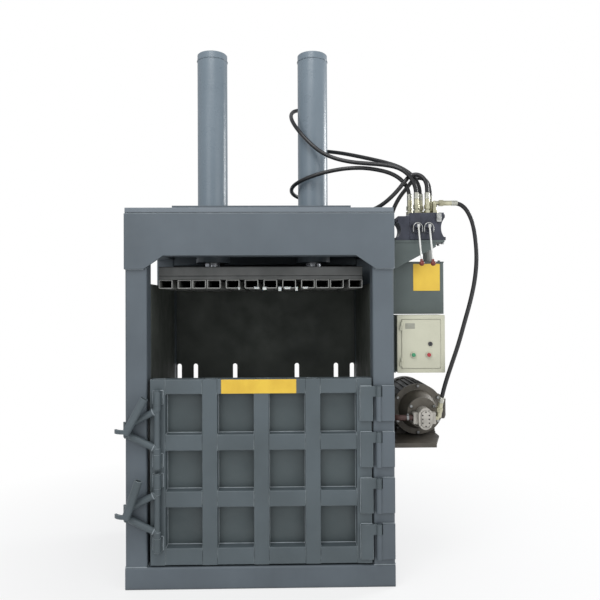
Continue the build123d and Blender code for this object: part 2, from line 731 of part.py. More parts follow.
lean = math.radians(lever_lean)
for centre, name in zip(section_centres[1:3], ("left", "right")):
    hand_lever = rod_along("X", hand_lever_shaft, centre - 13.5, centre + 6, lever_pivot_y,
                           lever_pivot_height)
    hand_lever += rod_along("X", 10, centre + 5.5, centre + 2 * hub_offset - 6, lever_pivot_y,
                            lever_pivot_height)
    rod_start = (centre + hub_offset, lever_pivot_y, lever_pivot_height)
    rod_end = (centre + hub_offset, lever_pivot_y - lever_rod_length * math.sin(lean),
               lever_pivot_height - lever_rod_length * math.cos(lean))
    hand_lever += bar_between(lever_rod_radius, rod_start, rod_end)
    save(f"{name}_valve_lever", hand_lever)
    along = [(e - s) / lever_rod_length for s, e in zip(rod_start, rod_end)]
    knob_centre = tuple(e + a * (knob_radius - 6) for e, a in zip(rod_end, along))
    knob_neck = tuple(e - a * 14 for e, a in zip(rod_end, along))
    knob = Pos(*knob_centre) * Sphere(knob_radius)
    knob += bar_between(7.5, knob_neck, knob_centre)
    knob -= bar_between(lever_rod_radius, rod_start, rod_end)
    save(f"{name}_lever_knob", knob)

# Oil tank: a welded box with a bolted lid and a filler cap
tank_left = frame_side
tank_right = frame_side + tank_width
tank = block(tank_left, tank_right, tank_front, tank_rear, tank_bottom, tank_top)
tank = fillet(tank.edges().filter_by(Axis.Z), 8)
tank -= block(tank_left + tank_wall, tank_right - tank_wall, tank_front + tank_wall, tank_rear - tank_wall,
              tank_bottom + tank_wall, tank_top)
save("oil_tank", tank)
lid = block(tank_left, tank_right + 2, tank_front - 2, tank_rear + 2, tank_top, tank_top + tank_lid_thickness)
lid_solids = [fillet(lid.edges().filter_by(Axis.Z), 8)]
filler_x = frame_side + filler_place[0]
filler_y = tank_front + filler_place[1]
filler_neck = tank_lid_top + 14
filler = rod_along("Z", filler_radius - 7, tank_lid_top, filler_neck, filler_x, filler_y)
filler += rod_along("Z", filler_radius, filler_neck, tank_lid_top + filler_height, filler_x, filler_y)
lid_solids.append(chamfer(filler.edges().group_by(Axis.Z)[-1], 4))
save("tank_lid", *lid_solids)

# Control box: a folded sheet box with a rim around the door opening, hung on its bracket
box_right = box_left + box_width
box_top = box_bottom + box_height
box_back = box_front + box_depth
opening_left = box_left + box_rim
opening_right = box_right - box_rim
opening_bottom = box_bottom + box_rim
opening_high = box_top - box_rim
lip_depth = 9
shell = block(box_left, box_right, box_front, box_back, box_bottom, box_top)
shell = fillet(shell.edges().filter_by(Axis.Y), 5)
shell -= block(box_left + box_wall, box_right - box_wall, box_front + box_wall, box_back - box_wall,
               box_bottom + box_wall, box_top - box_wall)
shell += block(opening_left - box_wall, opening_right + box_wall, box_front, box_front + lip_depth,
               opening_bottom - box_wall, opening_high + box_wall)
shell -= block(opening_left, opening_right, box_front, box_front + lip_depth, opening_bottom, opening_high)
box_hinge_x = opening_left + box_door_gap - 2.5
box_hinge_y = box_front - 7.5
box_hinge_levels = (opening_bottom + 35, opening_high - 35)
for level in box_hinge_levels:
    hinge_knuckle = rod_along("Z", 4, level - 22, level, box_hinge_x, box_hinge_y)
    hinge_knuckle += block(box_hinge_x - 9, box_hinge_x, box_hinge_y - 1, box_front, level - 22, level)
    shell += hinge_knuckle
    shell += rod_along("Z", 2.2, level - 22, level + 22, box_hinge_x, box_hinge_y)
save("control_box", shell)

door_x0 = opening_left + box_door_gap
door_x1 = opening_right - box_door_gap
door_z0 = opening_bottom + box_door_gap
door_z1 = opening_high - box_door_gap
door_front = box_front - box_door_proud
panel = block(door_x0, door_x1, door_front, door_front + box_door_depth, door_z0, door_z1)
panel = fillet(panel.edges().filter_by(Axis.Y), 4)
panel -= block(door_x0 + box_wall, door_x1 - box_wall, door_front + box_wall, door_front + box_door_depth,
               door_z0 + box_wall, door_z1 - box_wall)
bezel_front = door_front - 7
bezel_radius = 14.5
button_stem = 5
for level in box_hinge_levels:
    panel += rod_along("Z", 4, level + 0.5, level + 22, box_hinge_x, box_hinge_y)
    panel += block(box_hinge_x, door_x0 + 5, box_hinge_y - 1, door_front, level + 0.5, level + 22)
    panel -= rod_along("Z", 2.2 + running_clearance, level, level + 23, box_hinge_x, box_hinge_y)
lock_x = box_left + box_lock_inset[0]
lock_z = box_bottom + box_lock_inset[1]
button_places = [(box_left + x, box_bottom + z) for x, z in button_insets]
cam_back = door_front + box_door_depth + 5
door_solids = []
for (x, z) in button_places:
    panel -= rod_along("Y", button_stem + 3, door_front, door_front + box_wall, x, z)
    bezel = rod_along("Y", bezel_radius, bezel_front, door_front, x, z)
    bezel -= rod_along("Y", button_radius + running_clearance, bezel_front, door_front, x, z)
    door_solids.append(bezel)
    contacts = block(x - 14, x + 14, door_front + box_wall, door_front + 34, z - 15, z + 15)
    contacts -= rod_along("Y", button_stem + running_clearance, door_front, door_front + 16, x, z)
    door_solids.append(contacts)
panel -= rod_along("Y", 8 + running_clearance, door_front, door_front + box_wall, lock_x, lock_z)
save("box_door", panel, *door_solids)

for (x, z), colour in zip(button_places, ("green", "red")):
    cap_front = bezel_front - 6
    button = rod_along("Y", button_radius, cap_front, cap_front + 8, x, z)
    button = fillet(button.edges().group_by(Axis.Y)[0], 2)
    button += rod_along("Y", button_stem, cap_front + 8, door_front + 10, x, z)
    save(f"{colour}_button", button)

cam_length = opening_right + 11 - lock_x
box_lock = rod_along("Y", 8, door_front - 5, cam_back, lock_x, lock_z)
box_lock += rod_along("Y", 11, door_front - 5, door_front, lock_x, lock_z)
box_lock -= block(lock_x - 1, lock_x + 1, door_front - 5, door_front - 1, lock_z - 6, lock_z + 6)
cam = block(lock_x - 7, lock_x + 7, cam_back - 3, cam_back, lock_z - 9, lock_z + cam_length)
save("box_lock", box_lock + cam)

gear_back = box_back - box_wall
plate_y = gear_back - 8
gear = [block(box_left + 28, box_right - 28, plate_y - 3, plate_y, box_bottom + 30, box_top - 30)]
for x in (box_left + 40, box_right - 40):
    for z in (box_bottom + 42, box_top - 42):
        gear.append(rod_along("Y", 4, plate_y, gear_back, x, z))
for x0, x1, depth, z0, z1 in ((60, 105, 75, 165, 240), (60, 105, 65, 110, 163), (135, 189, 68, 160, 240),
                              (60, 189, 40, 55, 85)):
    gear.append(block(box_left + x0, box_left + x1, plate_y - depth, plate_y - 3, box_bottom + z0,
                      box_bottom + z1))
save("control_gear", *gear)

# Motor shelf: a plate with an angle along its front edge and flat ribs under it
shelf_right = frame_side + shelf_width
shelf_bottom_face = shelf_top - shelf_thickness
angle_drop = 15
shelf_outline = Polyline((frame_side, shelf_front), (frame_side + shelf_front_width, shelf_front),
                         (shelf_right, motor_front - 40), (shelf_right, shelf_rear), (frame_side, shelf_rear),
                         close=True)
shelf_solids = [extrude(section_plane("Z", shelf_bottom_face) * make_face(shelf_outline), shelf_thickness)]
for y, reach in ((shelf_front, shelf_front_width), (shelf_rear - 6, shelf_width)):
    shelf_solids.append(block(frame_side, frame_side + reach, y, y + 6, shelf_bottom_face - angle_drop,
                              shelf_bottom_face))
for y in (motor_front + 60, motor_rear - 68):
    shelf_solids.append(block(frame_side, shelf_right - 20, y, y + 8, shelf_bottom_face - angle_drop,
                              shelf_bottom_face))
for x in (motor_x - rail_spread, motor_x + rail_spread):
    shelf_solids.append(block(x - 26, x + 26, motor_front + 40, motor_rear - 40, shelf_top,
                              shelf_top + foot_rail))
save("motor_shelf", *shelf_solids)

# Motor: ribbed housing with end shields, stator and terminal box; the rotor turns in both shields
shield = 12
stator_inner = 62
housing_bore = motor_radius - 12
housing = rod_along("Y", motor_radius, motor_front, motor_rear, motor_x, shaft_z)
housing -= rod_along("Y", housing_bore, motor_front + shield, motor_rear - shield, motor_x, shaft_z)
housing -= rod_along("Y", shaft_radius + running_clearance, motor_front, motor_rear, motor_x, shaft_z)
foot_top = shelf_top + foot_rail + 14
for x in (motor_x - rail_spread, motor_x + rail_spread):
    housing += block(x - 24, x + 24, motor_front + 45, motor_rear - 45, shelf_top + foot_rail, foot_top)
    housing += block(x - 6, x + 6, motor_front + 45, motor_rear - 45, foot_top, shaft_z - 70)
fin_profile = Rectangle(motor_fin + 4, 3)
fin_plane = Plane(origin=(motor_x, motor_front + 14, shaft_z), x_dir=(-1, 0, 0), z_dir=(0, 1, 0))
fins = []
for number in range(fin_count):
    angle = 360 / fin_count * number
    if 225 < angle < 315:
        continue
    fin = Rot(0, 0, angle) * (Pos(motor_radius + motor_fin / 2 - 2, 0) * fin_profile)
    fins.append(extrude(fin_plane * fin, motor_rear - motor_front - 28))
housing += fins
terminal_box = block(motor_x + 108, motor_x + 160, motor_front + 18, motor_front + 150, shaft_z - 58,
                     shaft_z + 62)
housing += chamfer(terminal_box.faces().sort_by(Axis.X)[-1].edges(), 7)
housing -= rod_along("Y", housing_bore, motor_front + shield, motor_rear - shield, motor_x, shaft_z)
stator = rod_along("Y", housing_bore, motor_front + 60, motor_rear - 60, motor_x, shaft_z)
stator -= rod_along("Y", stator_inner, motor_front + 60, motor_rear - 60, motor_x, shaft_z)
save("motor_housing", housing, stator)

fan_start = motor_rear + 8
coupling_front = motor_front - 100
rotor = rod_along("Y", shaft_radius, coupling_front + 32, fan_start + 40, motor_x, shaft_z)
core = rod_along("Y", stator_inner - 2, motor_front + 60, motor_rear - 60, motor_x, shaft_z)
core -= rod_along("Y", shaft_radius, motor_front, motor_rear, motor_x, shaft_z)
fan = rod_along("Y", 32, fan_start, fan_start + 38, motor_x, shaft_z)
fan_plane = Plane(origin=(motor_x, fan_start, shaft_z), x_dir=(-1, 0, 0), z_dir=(0, 1, 0))
for number in range(7):
    blade = Rot(0, 0, 360 / 7 * number) * (Pos(64, 0) * Rectangle(72, 4))
    fan += extrude(fan_plane * blade, 34)
fan -= rod_along("Y", shaft_radius, fan_start, fan_start + 38, motor_x, shaft_z)
coupling = rod_along("Y", 34, coupling_front, coupling_front + 70, motor_x, shaft_z)
coupling -= rod_along("Y", shaft_radius, coupling_front + 32, coupling_front + 70, motor_x, shaft_z)
coupling -= rod_along("Y", pump_shaft_radius, coupling_front, coupling_front + 32, motor_x, shaft_z)
pump_back = motor_front - shield - bell_length + 2
pump_front = pump_back - pump_length
drive_shaft = rod_along("Y", pump_shaft_radius, pump_back - 60, coupling_front + 32, motor_x, shaft_z)
save("motor_rotor", rotor, core, fan, coupling, drive_shaft)

cowl_end = fan_start + 64
cowl = rod_along("Y", motor_radius + 8, motor_rear, cowl_end, motor_x, shaft_z)
cowl = fillet(cowl.edges().group_by(Axis.Y)[-1], 14)
cowl_inside = rod_along("Y", motor_radius + 5, motor_rear, cowl_end - 3, motor_x, shaft_z)
cowl -= fillet(cowl_inside.edges().group_by(Axis.Y)[-1], 11)
cowl_plane = Plane(origin=(motor_x, cowl_end - 3, shaft_z), x_dir=(-1, 0, 0), z_dir=(0, 1, 0))
for ring_radius, slots in ((38, 8), (62, 12), (86, 16), (110, 20)):
    for number in range(slots):
        slot = Rot(0, 0, 360 / slots * number) * (Pos(ring_radius, 0) * SlotOverall(19, 8, rotation=0))
        cowl -= extrude(cowl_plane * slot, 3)
cowl_ring = rod_along("Y", motor_radius + 6, motor_rear, motor_rear + 4, motor_x, shaft_z)
cowl_ring -= rod_along("Y", motor_radius - 8, motor_rear, motor_rear + 4, motor_x, shaft_z)
save("fan_cover", cowl + cowl_ring)

# Bell housing between the motor and the gear pump, hollow around the coupling
bell_plane = Plane(origin=(motor_x, motor_front, shaft_z), x_dir=(1, 0, 0), z_dir=(0, -1, 0))
bell = extrude(bell_plane * Circle(flange_radius), shield)
rim = 12
bell_end_plane = bell_plane.offset(motor_front - pump_back - rim)
bell += loft([bell_plane.offset(shield) * Circle(motor_radius - 22), bell_end_plane * Circle(66)])
bell += rod_along("Y", 80, pump_back, pump_back + rim, motor_x, shaft_z)
bell -= loft([bell_plane * Circle(motor_radius - 30), bell_end_plane * Circle(54)])
bell -= rod_along("Y", 30, pump_back, pump_back + rim, motor_x, shaft_z)
save("bell_housing", bell)

# Gear pump: two meshing gears give the body its long round outline; a bolted port flange on either side
port_z = shaft_z - pump_gear_spacing / 2
port_y = pump_front + 45
port_face = pump_radius + pump_port_reach
pump_plane = Plane(origin=(motor_x, pump_back, port_z), x_dir=(1, 0, 0), z_dir=(0, -1, 0))
pump = extrude(pump_plane * SlotCenterToCenter(pump_gear_spacing, 2 * pump_radius, rotation=90), pump_length)
cover = extrude(pump_plane * SlotCenterToCenter(pump_gear_spacing, 47, rotation=90), pump_length + 7)
pump += fillet(cover.edges().group_by(Axis.Y)[0], 2)
pump += block(motor_x - port_face, motor_x + port_face, port_y - 22, port_y + 22, port_z - 30, port_z + 30)
pump -= rod_along("Y", pump_shaft_radius + running_clearance, pump_back - 61, pump_back, motor_x, shaft_z)
pump_solids = [pump]
for sx in (-1, 1):
    for sz in (-1, 1):
        pump_solids.append(hex_along("Y", 10, pump_front - 7, pump_front, motor_x + sx * 22,
                                     port_z + sz * 40))
        for y in (port_y - 14, port_y + 14):
            head_start, head_stop = sorted((motor_x + sx * port_face, motor_x + sx * (port_face + 3)))
            pump_solids.append(rod_along("X", 5, head_start, head_stop, y, port_z + sz * 22))
save("gear_pump", *pump_solids)

# Suction pipe: from the pump's left port along the motor and up to the tank's underside
suction_x = frame_side + suction_side_gap
suction_y = front_y + suction_setback
suction_start = motor_x - port_face - 16
suction_solids = [bent_tube([(suction_start, port_y, port_z), (suction_x, port_y, port_z),
                             (suction_x, suction_y, port_z), (suction_x, suction_y, tank_bottom)],
                            suction_radius, [38, 45])]
for y in (port_y + 70, port_y + 120):
    clamp = rod_along("Y", suction_radius + 3, y, y + 14, suction_x, port_z)
    suction_solids.append(clamp - rod_along("Y", suction_radius, y, y + 14, suction_x, port_z))
flange = rod_along("Z", suction_radius + 7, tank_bottom - 10, tank_bottom, suction_x, suction_y)
flange -= rod_along("Z", suction_radius, tank_bottom - 10, tank_bottom, suction_x, suction_y)
suction_solids.append(flange)
suction_solids.append(rod_along("X", suction_radius - 1, suction_start, motor_x - port_face, port_y, port_z))
save("suction_pipe", *suction_solids)

# Hose routes. Each hose leaves its fitting straight, and its bends are chosen so that it lies as it does on
# the machine
hose_radius = hose_diameter / 2
left_spool, right_spool = section_centres[1:3]
inlet_centre = section_centres[3]
inlet_place = (inlet_centre - 7, valve_front + 50)
return_place = (inlet_centre - 17, valve_rear - 18)
inlet_elbow_z = valve_top + 57
inlet_tip = (inlet_centre + 82, inlet_place[1], inlet_elbow_z)
return_port = (frame_side + 58, tank_front + 205)
pump_elbow = (motor_x + port_face + 20, port_y, port_z + 4)
upper_tee, lower_tee = cap_tees


def hose_route(start, lead, end, bends):
    """Bends are offsets from the straight line between the lead's end and the far end, at equal steps."""
    first = tuple(s + step for s, step in zip(start, lead))
    steps = len(bends) + 1
    route = [start, first]
    for number, bend in enumerate(bends, 1):
        route.append(tuple(f + (e - f) * number / steps + off for f, e, off in zip(first, end, bend)))
    return route + [end]


hoses = {
    "hose_cap_upper": hose_route(
        (left_spool + port_stagger, port_front, fitting_top), (0, 0, 40),
        (cylinder_x - 44, cap_pipe_y, upper_tee + 1),
        [(26, -30, 8), (35, -56, 17), (24, -68, 18), (-10, -62, 2), (-52, -54, -21), (-99, -46, -42),
         (-146, -50, -55), (-179, -66, -57), (-207, -80, -37), (-228, -76, 1), (-224, -50, 31),
         (-195, -20, 43), (-146, 3, 44), (-79, 11, 29)]),
    "hose_rod_end": hose_route(
        (left_spool - port_stagger, port_rear, fitting_top), (0, 0, 38),
        (cylinder_x - 46, rod_pipe_y - 21, rod_riser_top - 18),
        [(26, -27, 41), (35, -47, 79), (30, -60, 108), (7, -69, 128), (-26, -78, 140), (-74, -86, 139),
         (-121, -99, 125), (-157, -120, 103), (-185, -123, 78), (-193, -96, 56), (-164, -55, 33),
         (-94, -12, 13)]),
    "hose_cap_lower": hose_route(
        (right_spool - port_stagger, port_rear, fitting_top), (0, 0, 40),
        (cylinder_x + 46, cap_pipe_y - 16, lower_tee),
        [(54, -44, 11), (89, -78, 19), (105, -105, 20), (113, -116, 14), (87, -90, 15), (36, -45, 24),
         (21, -24, 14)]),
    "hose_bulkhead": hose_route(
        (right_spool + port_stagger, port_front, fitting_top), (0, 0, 44),
        (bulkhead_x, rod_pipe_y - 50, frame_height + 23),
        [(25, -31, 49), (34, -56, 91), (29, -80, 114), (23, -108, 111), (25, -145, 88), (7, -172, 37),
         (-28, -180, -12), (-60, -167, -32), (-75, -137, -32), (-59, -88, -26), (-27, -38, -18)]),
    "hose_return": hose_route(
        (*return_place, fitting_top - 5), (0, 0, 43),
        (return_port[0] - 8, return_port[1] - 10, tank_lid_top + 33),
        [(12, -9, 72), (11, -14, 139), (-5, -17, 183), (-22, -20, 199), (-33, -25, 193), (-60, -27, 169),
         (-76, -29, 134), (-73, -26, 89), (-57, -15, 49), (-29, -5, 20)]),
    "hose_pressure": hose_route(
        inlet_tip, (33, 0, 0), (motor_x + 82, port_y - 35, port_z + 86),
        [(41, -2, 61), (73, -6, 104), (99, -14, 128), (118, -23, 115), (127, -30, 95), (121, -39, 70),
         (102, -47, 45), (75, -55, 15), (50, -60, -13), (23, -59, -33), (3, -48, -38), (-4, -25, -30)]),
}
for name, points in hoses.items():
    radii = cord_radii(points)
    hose = bent_tube(points, hose_radius, radii)
    path_length = hose.volume / (math.pi * hose_radius ** 2)
    print(name, "length", round(path_length), "radii", [round(radius) for radius in radii])
    save(name, hose)


def hose_end(tip, neighbour, length):
    """A crimped sleeve and its nut, in line with the hose's last run; returns the nut's far end too."""
    into = (Vector(*tip) - Vector(*neighbour)).normalized()
    tail = Vector(*tip) + into * length
    plane = Plane(origin=tip, z_dir=into)
    sleeve = extrude(plane * Circle(ferrule_radius), 0.6 * length)
    nut = extrude(plane.offset(0.6 * length) * RegularPolygon(nut_width / math.sqrt(3), 6), 0.4 * length)
    return sleeve + nut, tuple(tail)


def elbow_to(tail, target, radius):
    """A bent stub from a hose nut's tail to the port that it screws into."""
    return Pos(*tail) * Sphere(radius) + bar_between(radius, tail, target)


fittings = []
for name in ("hose_cap_upper", "hose_rod_end", "hose_cap_lower", "hose_bulkhead", "hose_return"):
    x, y, tip_z = hoses[name][0]
    fitting = hex_along("Z", nut_width + 2, valve_top, valve_top + 16, x, y)
    fitting += rod_along("Z", ferrule_radius - 2, valve_top + 16, tip_z - 50, x, y)
    fitting += hex_along("Z", nut_width, tip_z - 54, tip_z - 32, x, y)
    fitting += rod_along("Z", ferrule_radius, tip_z - 32, tip_z, x, y)
    fittings.append(fitting)
tip_x = inlet_tip[0]
inlet = hex_along("Z", nut_width + 4, valve_top, valve_top + 18, *inlet_place)
inlet += rod_along("Z", ferrule_radius, valve_top + 18, inlet_elbow_z, *inlet_place)
inlet += Pos(*inlet_place, inlet_elbow_z) * Sphere(ferrule_radius)
inlet += rod_along("X", ferrule_radius - 2, inlet_place[0], tip_x - 50, inlet_place[1], inlet_elbow_z)
inlet += hex_along("X", nut_width, tip_x - 65, tip_x - 43, inlet_place[1], inlet_elbow_z)
inlet += rod_along("X", ferrule_radius, tip_x - 43, tip_x, inlet_place[1], inlet_elbow_z)
fittings.append(inlet)
for name, length, target, radius in (
        ("hose_cap_upper", 14, (cylinder_x - 19, cap_pipe_y, upper_tee), 12),
        ("hose_cap_lower", 22, (cylinder_x + 19, cap_pipe_y, lower_tee), 12),
        ("hose_rod_end", 24, (cylinder_x - 17, rod_pipe_y, rod_riser_top - 19), 12),
        ("hose_bulkhead", 34, (bulkhead_x, rod_pipe_y, frame_height + 30), 12),
        ("hose_return", 24, (*return_port, tank_lid_top + 6), 12),
        ("hose_pressure", 56, pump_elbow, 14)):
    fitting, tail = hose_end(hoses[name][-1], hoses[name][-2], length)
    fitting += elbow_to(tail, target, radius)
    for pipe in (cap_pipe, rod_pipe):
        fitting -= pipe
    if name == "hose_bulkhead":
        fitting += rod_along("Z", 13, frame_height, frame_height + 40, bulkhead_x, rod_pipe_y)
        fitting += hex_along("Z", 32, frame_height, frame_height + 12, bulkhead_x, rod_pipe_y)
    if name == "hose_return":
        fitting += rod_along("Z", 24, tank_lid_top, tank_lid_top + 8, *return_port)
        fitting -= rod_along("Z", 40, tank_top - 40, tank_lid_top, *return_port)
    if name == "hose_pressure":
        fitting += rod_along("X", 14, motor_x + port_face, pump_elbow[0], port_y, port_z)
        fitting -= block(motor_x, motor_x + port_face, port_y - 40, port_y + 40, port_z - 40, port_z + 60)
    fittings.append(fitting)
save("hose_fittings", *fittings)

# Fasteners: bolts of the valve, the motor's feet, the tank lid and both bell housing flanges
bolts = []
for x in (valve_left - foot_reach + 14, valve_right + foot_reach - 14):
    for y in (valve_front + 14, valve_rear - 14):
        bolts.append(hex_along("Z", 13, shelf_bottom - 8, shelf_bottom, x, y))
for x in (motor_x - rail_spread - 16, motor_x + rail_spread + 16):
    for y in (motor_front + 62, motor_rear - 62):
        bolts.append(hex_along("Z", 13, foot_top, foot_top + 8, x, y))
for x in (tank_left + 22, tank_right - 20):
    for y in (tank_front + 20, (tank_front + tank_rear) / 2, tank_rear - 20):
        bolts.append(hex_along("Z", 13, tank_lid_top, tank_lid_top + 7, x, y))
flange_bolts = [(motor_front - shield, flange_radius - 11, 60 * turn + 30) for turn in range(6)]
flange_bolts += [(pump_back, 70, angle) for angle in (30, 150, 210, 330)]
for y, radius, degrees in flange_bolts:
    angle = math.radians(degrees)
    bolts.append(hex_along("Y", 14, y - 9, y, motor_x + radius * math.cos(angle),
                           shaft_z + radius * math.sin(angle)))
save("fasteners", *bolts)
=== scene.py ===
import math
import random
import bmesh
import bpy
from mathutils import Matrix, Vector


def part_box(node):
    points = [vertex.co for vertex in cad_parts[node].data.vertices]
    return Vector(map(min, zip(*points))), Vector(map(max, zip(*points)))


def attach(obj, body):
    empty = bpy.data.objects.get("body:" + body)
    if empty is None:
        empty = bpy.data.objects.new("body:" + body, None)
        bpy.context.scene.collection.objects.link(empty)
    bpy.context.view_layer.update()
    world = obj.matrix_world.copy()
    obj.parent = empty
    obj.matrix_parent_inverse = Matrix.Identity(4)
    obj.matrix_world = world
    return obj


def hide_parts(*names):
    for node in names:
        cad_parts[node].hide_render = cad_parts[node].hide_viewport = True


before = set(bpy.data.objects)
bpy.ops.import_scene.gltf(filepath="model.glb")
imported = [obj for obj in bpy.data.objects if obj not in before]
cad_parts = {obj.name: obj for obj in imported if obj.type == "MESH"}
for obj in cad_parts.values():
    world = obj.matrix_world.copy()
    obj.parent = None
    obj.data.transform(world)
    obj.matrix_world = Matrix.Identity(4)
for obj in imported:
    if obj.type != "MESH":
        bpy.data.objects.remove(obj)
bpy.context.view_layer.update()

# Steel frame: square tubes for the posts, the beams and the base, with a plate over the front. Everything is
# welded and then sprayed with one coat of grey-blue enamel, which is scuffed thin along the edges; the edges
# are painted lighter, partly as that wear and partly as a painted highlight, and the weld beads are painted
# lighter than the enamel, as a painted highlight. The top plate is sprayed too, and is painted paler because
# it lies open to the sky: painted light.


def photo_colour(red, green, blue):
    """A colour as the eye reads it, 0 to 255, turned into the linear values that a shader takes."""
    shares = [value / 255 for value in (red, green, blue)]
    linear = [share / 12.92 if share < 0.04045 else ((share + 0.055) / 1.055) ** 2.4 for share in shares]
    return (*linear, 1)


def steel_finish(name, colour, dark, wear_and_highlight_colour, roughness=(0.42, 0.62), metallic=0.0, edge=0.35, dirt_and_shade=0.6,
                 patch=2.2, grain=160, streak=0.35, edge_width=0.004):
    """Paint, bare metal or plastic: slow patches and streaks of tone, oily dust and painted shade in
    corners, and an edge painted lighter, partly as rubbing and partly as a painted highlight.

    patch and grain say how fine the patches and the surface are, streak, grime and edge how strong the
    streaks, the dust and painted shade, and the lighter edge are, and edge_width how far the edges are
    rounded, in metres."""
    material = bpy.data.materials.new(name)
    material.use_nodes = True
    nodes = material.node_tree.nodes
    links = material.node_tree.links
    shader = nodes["Principled BSDF"]
    shader.inputs["Metallic"].default_value = metallic
    place = nodes.new("ShaderNodeTexCoord").outputs["Object"]

    def noise(scale, detail, stretch=(1, 1, 1)):
        mapping = nodes.new("ShaderNodeMapping")
        mapping.inputs["Scale"].default_value = stretch
        links.new(place, mapping.inputs["Vector"])
        texture = nodes.new("ShaderNodeTexNoise")
        texture.inputs["Scale"].default_value = scale
        texture.inputs["Detail"].default_value = detail
        links.new(mapping.outputs["Vector"], texture.inputs["Vector"])
        return texture.outputs["Fac"]

    def spread(value, low, high, to_low, to_high):
        span = nodes.new("ShaderNodeMapRange")
        for key, number in (("From Min", low), ("From Max", high), ("To Min", to_low), ("To Max", to_high)):
            span.inputs[key].default_value = number
        links.new(value, span.inputs["Value"])
        return span.outputs["Result"]

    def times(first, second):
        product = nodes.new("ShaderNodeMath")
        product.operation = "MULTIPLY"
        links.new(first, product.inputs[0])
        links.new(second, product.inputs[1])
        return product.outputs["Value"]

    def blend(factor, first, second):
        mix = nodes.new("ShaderNodeMix")
        mix.data_type = "RGBA"
        links.new(factor, mix.inputs["Factor"])
        for socket, value in ((mix.inputs["A"], first), (mix.inputs["B"], second)):
            if isinstance(value, tuple):
                socket.default_value = value
            else:
                links.new(value, socket)
        return mix.outputs["Result"]

    def bump(height, strength, distance, normal):
        relief = nodes.new("ShaderNodeBump")
        relief.inputs["Strength"].default_value = strength
        relief.inputs["Distance"].default_value = distance
        links.new(height, relief.inputs["Height"])
        links.new(normal, relief.inputs["Normal"])
        return relief.outputs["Normal"]

    patches = spread(noise(patch, 8), 0.35, 0.72, 0, 0.75)
    tone = blend(patches, colour, dark)
    streaks = times(spread(noise(5, 6, (3.2, 3.2, 0.35)), 0.52, 0.8, 0, 1),
                    spread(noise(1.3, 2), 0.4, 0.65, 0, streak))
    tone = blend(streaks, tone, dark)
    # Dirt and painted shade: an occlusion mask, broken up by noise, darkens the colour in corners and
    # recesses.
    corner = nodes.new("ShaderNodeAmbientOcclusion")
    corner.samples = 6
    corner.inputs["Distance"].default_value = 0.035
    corner_dirt_and_painted_shade = times(spread(corner.outputs["AO"], 0.25, 0.85, dirt_and_shade, 0), spread(noise(9, 6), 0.3, 0.7, 0.45, 1))
    tone = blend(corner_dirt_and_painted_shade, tone, (*[0.35 * value for value in dark[:3]], 1))
    # A lighter colour on the edges, partly rubbed wear and partly a painted highlight.
    rounded = nodes.new("ShaderNodeBevel")
    rounded.samples = 4
    rounded.inputs["Radius"].default_value = edge_width
    facing = nodes.new("ShaderNodeVectorMath")
    facing.operation = "DOT_PRODUCT"
    links.new(rounded.outputs["Normal"], facing.inputs[0])
    links.new(nodes.new("ShaderNodeNewGeometry").outputs["Normal"], facing.inputs[1])
    wear_and_highlight_mask = times(spread(facing.outputs["Value"], 0.995, 0.9, 0, edge),
                   spread(noise(14, 8), 0.42, 0.6, 0, 1))
    tone = blend(wear_and_highlight_mask, tone, wear_and_highlight_colour)
    links.new(tone, shader.inputs["Base Color"])
    links.new(spread(noise(11, 8), 0.3, 0.7, *roughness), shader.inputs["Roughness"])
    dented = bump(noise(4.5, 4), 0.25, 0.004, rounded.outputs["Normal"])
    links.new(bump(noise(grain, 3), 0.18, 0.0006, dented), shader.inputs["Normal"])
    return material


def finish_nodes(material, *names):
    """Gives the named CAD pieces one material."""
    for name in names:
        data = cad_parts[name].data
        for number in range(len(data.materials)):
            data.materials[number] = material


def show_mesh(name, body, mesh_data, material, smooth=30):
    """Turns a bmesh into an object of one material that rides on a body."""
    mesh = bpy.data.meshes.new(name)
    mesh_data.to_mesh(mesh)
    mesh_data.free()
    mesh.materials.append(material)
    mesh.polygons.foreach_set("use_smooth", [True] * len(mesh.polygons))
    mesh.set_sharp_from_angle(angle=math.radians(smooth))
    piece = bpy.data.objects.new(name, mesh)
    bpy.context.scene.collection.objects.link(piece)
    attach(piece, body)
    return piece


def skin_rings(mesh_data, rings, closed=False):
    """Joins each ring of corners to the next with four-sided faces; an open row of rings is capped."""
    pairs = list(zip(rings, rings[1:]))
    if closed:
        pairs.append((rings[-1], rings[0]))
    for first, second in pairs:
        for k in range(len(first)):
            mesh_data.faces.new((first[k - 1], first[k], second[k], second[k - 1]))
    if not closed:
        mesh_data.faces.new(rings[0][::-1])
        mesh_data.faces.new(rings[-1])


def lay_tube(mesh_data, points, radii, sides=6, closed=False):
    """A tube through the points with its own radius at each; closed joins the last ring to the first.

    Where the path turns straight back, into a screw's socket, the rings keep facing the same way."""
    off_axis = Vector((0.31, 0.47, 0.83))
    turns = [2 * math.pi * k / sides for k in range(sides)]
    rings = []
    count = len(points)
    heading = points[1] - points[0]
    for number, (point, radius) in enumerate(zip(points, radii)):
        before = points[number - 1] if number or closed else point
        after = points[(number + 1) % count] if number < count - 1 or closed else point
        along = (after - before).normalized()
        if along.dot(heading) < -0.99 * heading.length:
            along = -along
        heading = along
        across = along.cross(off_axis).normalized()
        up = along.cross(across)
        rings.append([mesh_data.verts.new(point + radius * (math.cos(turn) * across + math.sin(turn) * up))
                      for turn in turns])
    skin_rings(mesh_data, rings, closed)


def weld_beads(name, body, runs, material, radius=0.0032, step=0.0045):
    """Hand-laid beads along straight runs: overlapping drops, a little uneven, half sunk into the corner."""
    weld_random = random.Random(len(runs))
    mesh_data = bmesh.new()
    for start, end in runs:
        start, end = Vector(start), Vector(end)
        parts = 2 * max(2, round((end - start).length / step))
        along = [start.lerp(end, number / parts) for number in range(parts + 1)]
        swell = [radius * (weld_random.uniform(0.92, 1.1) if number % 2 else 0.8)
                 for number in range(parts + 1)]
        swell[0] = swell[-1] = 0.4 * radius
        lay_tube(mesh_data, along, swell)
    return show_mesh(name, body, mesh_data, material, smooth=60)


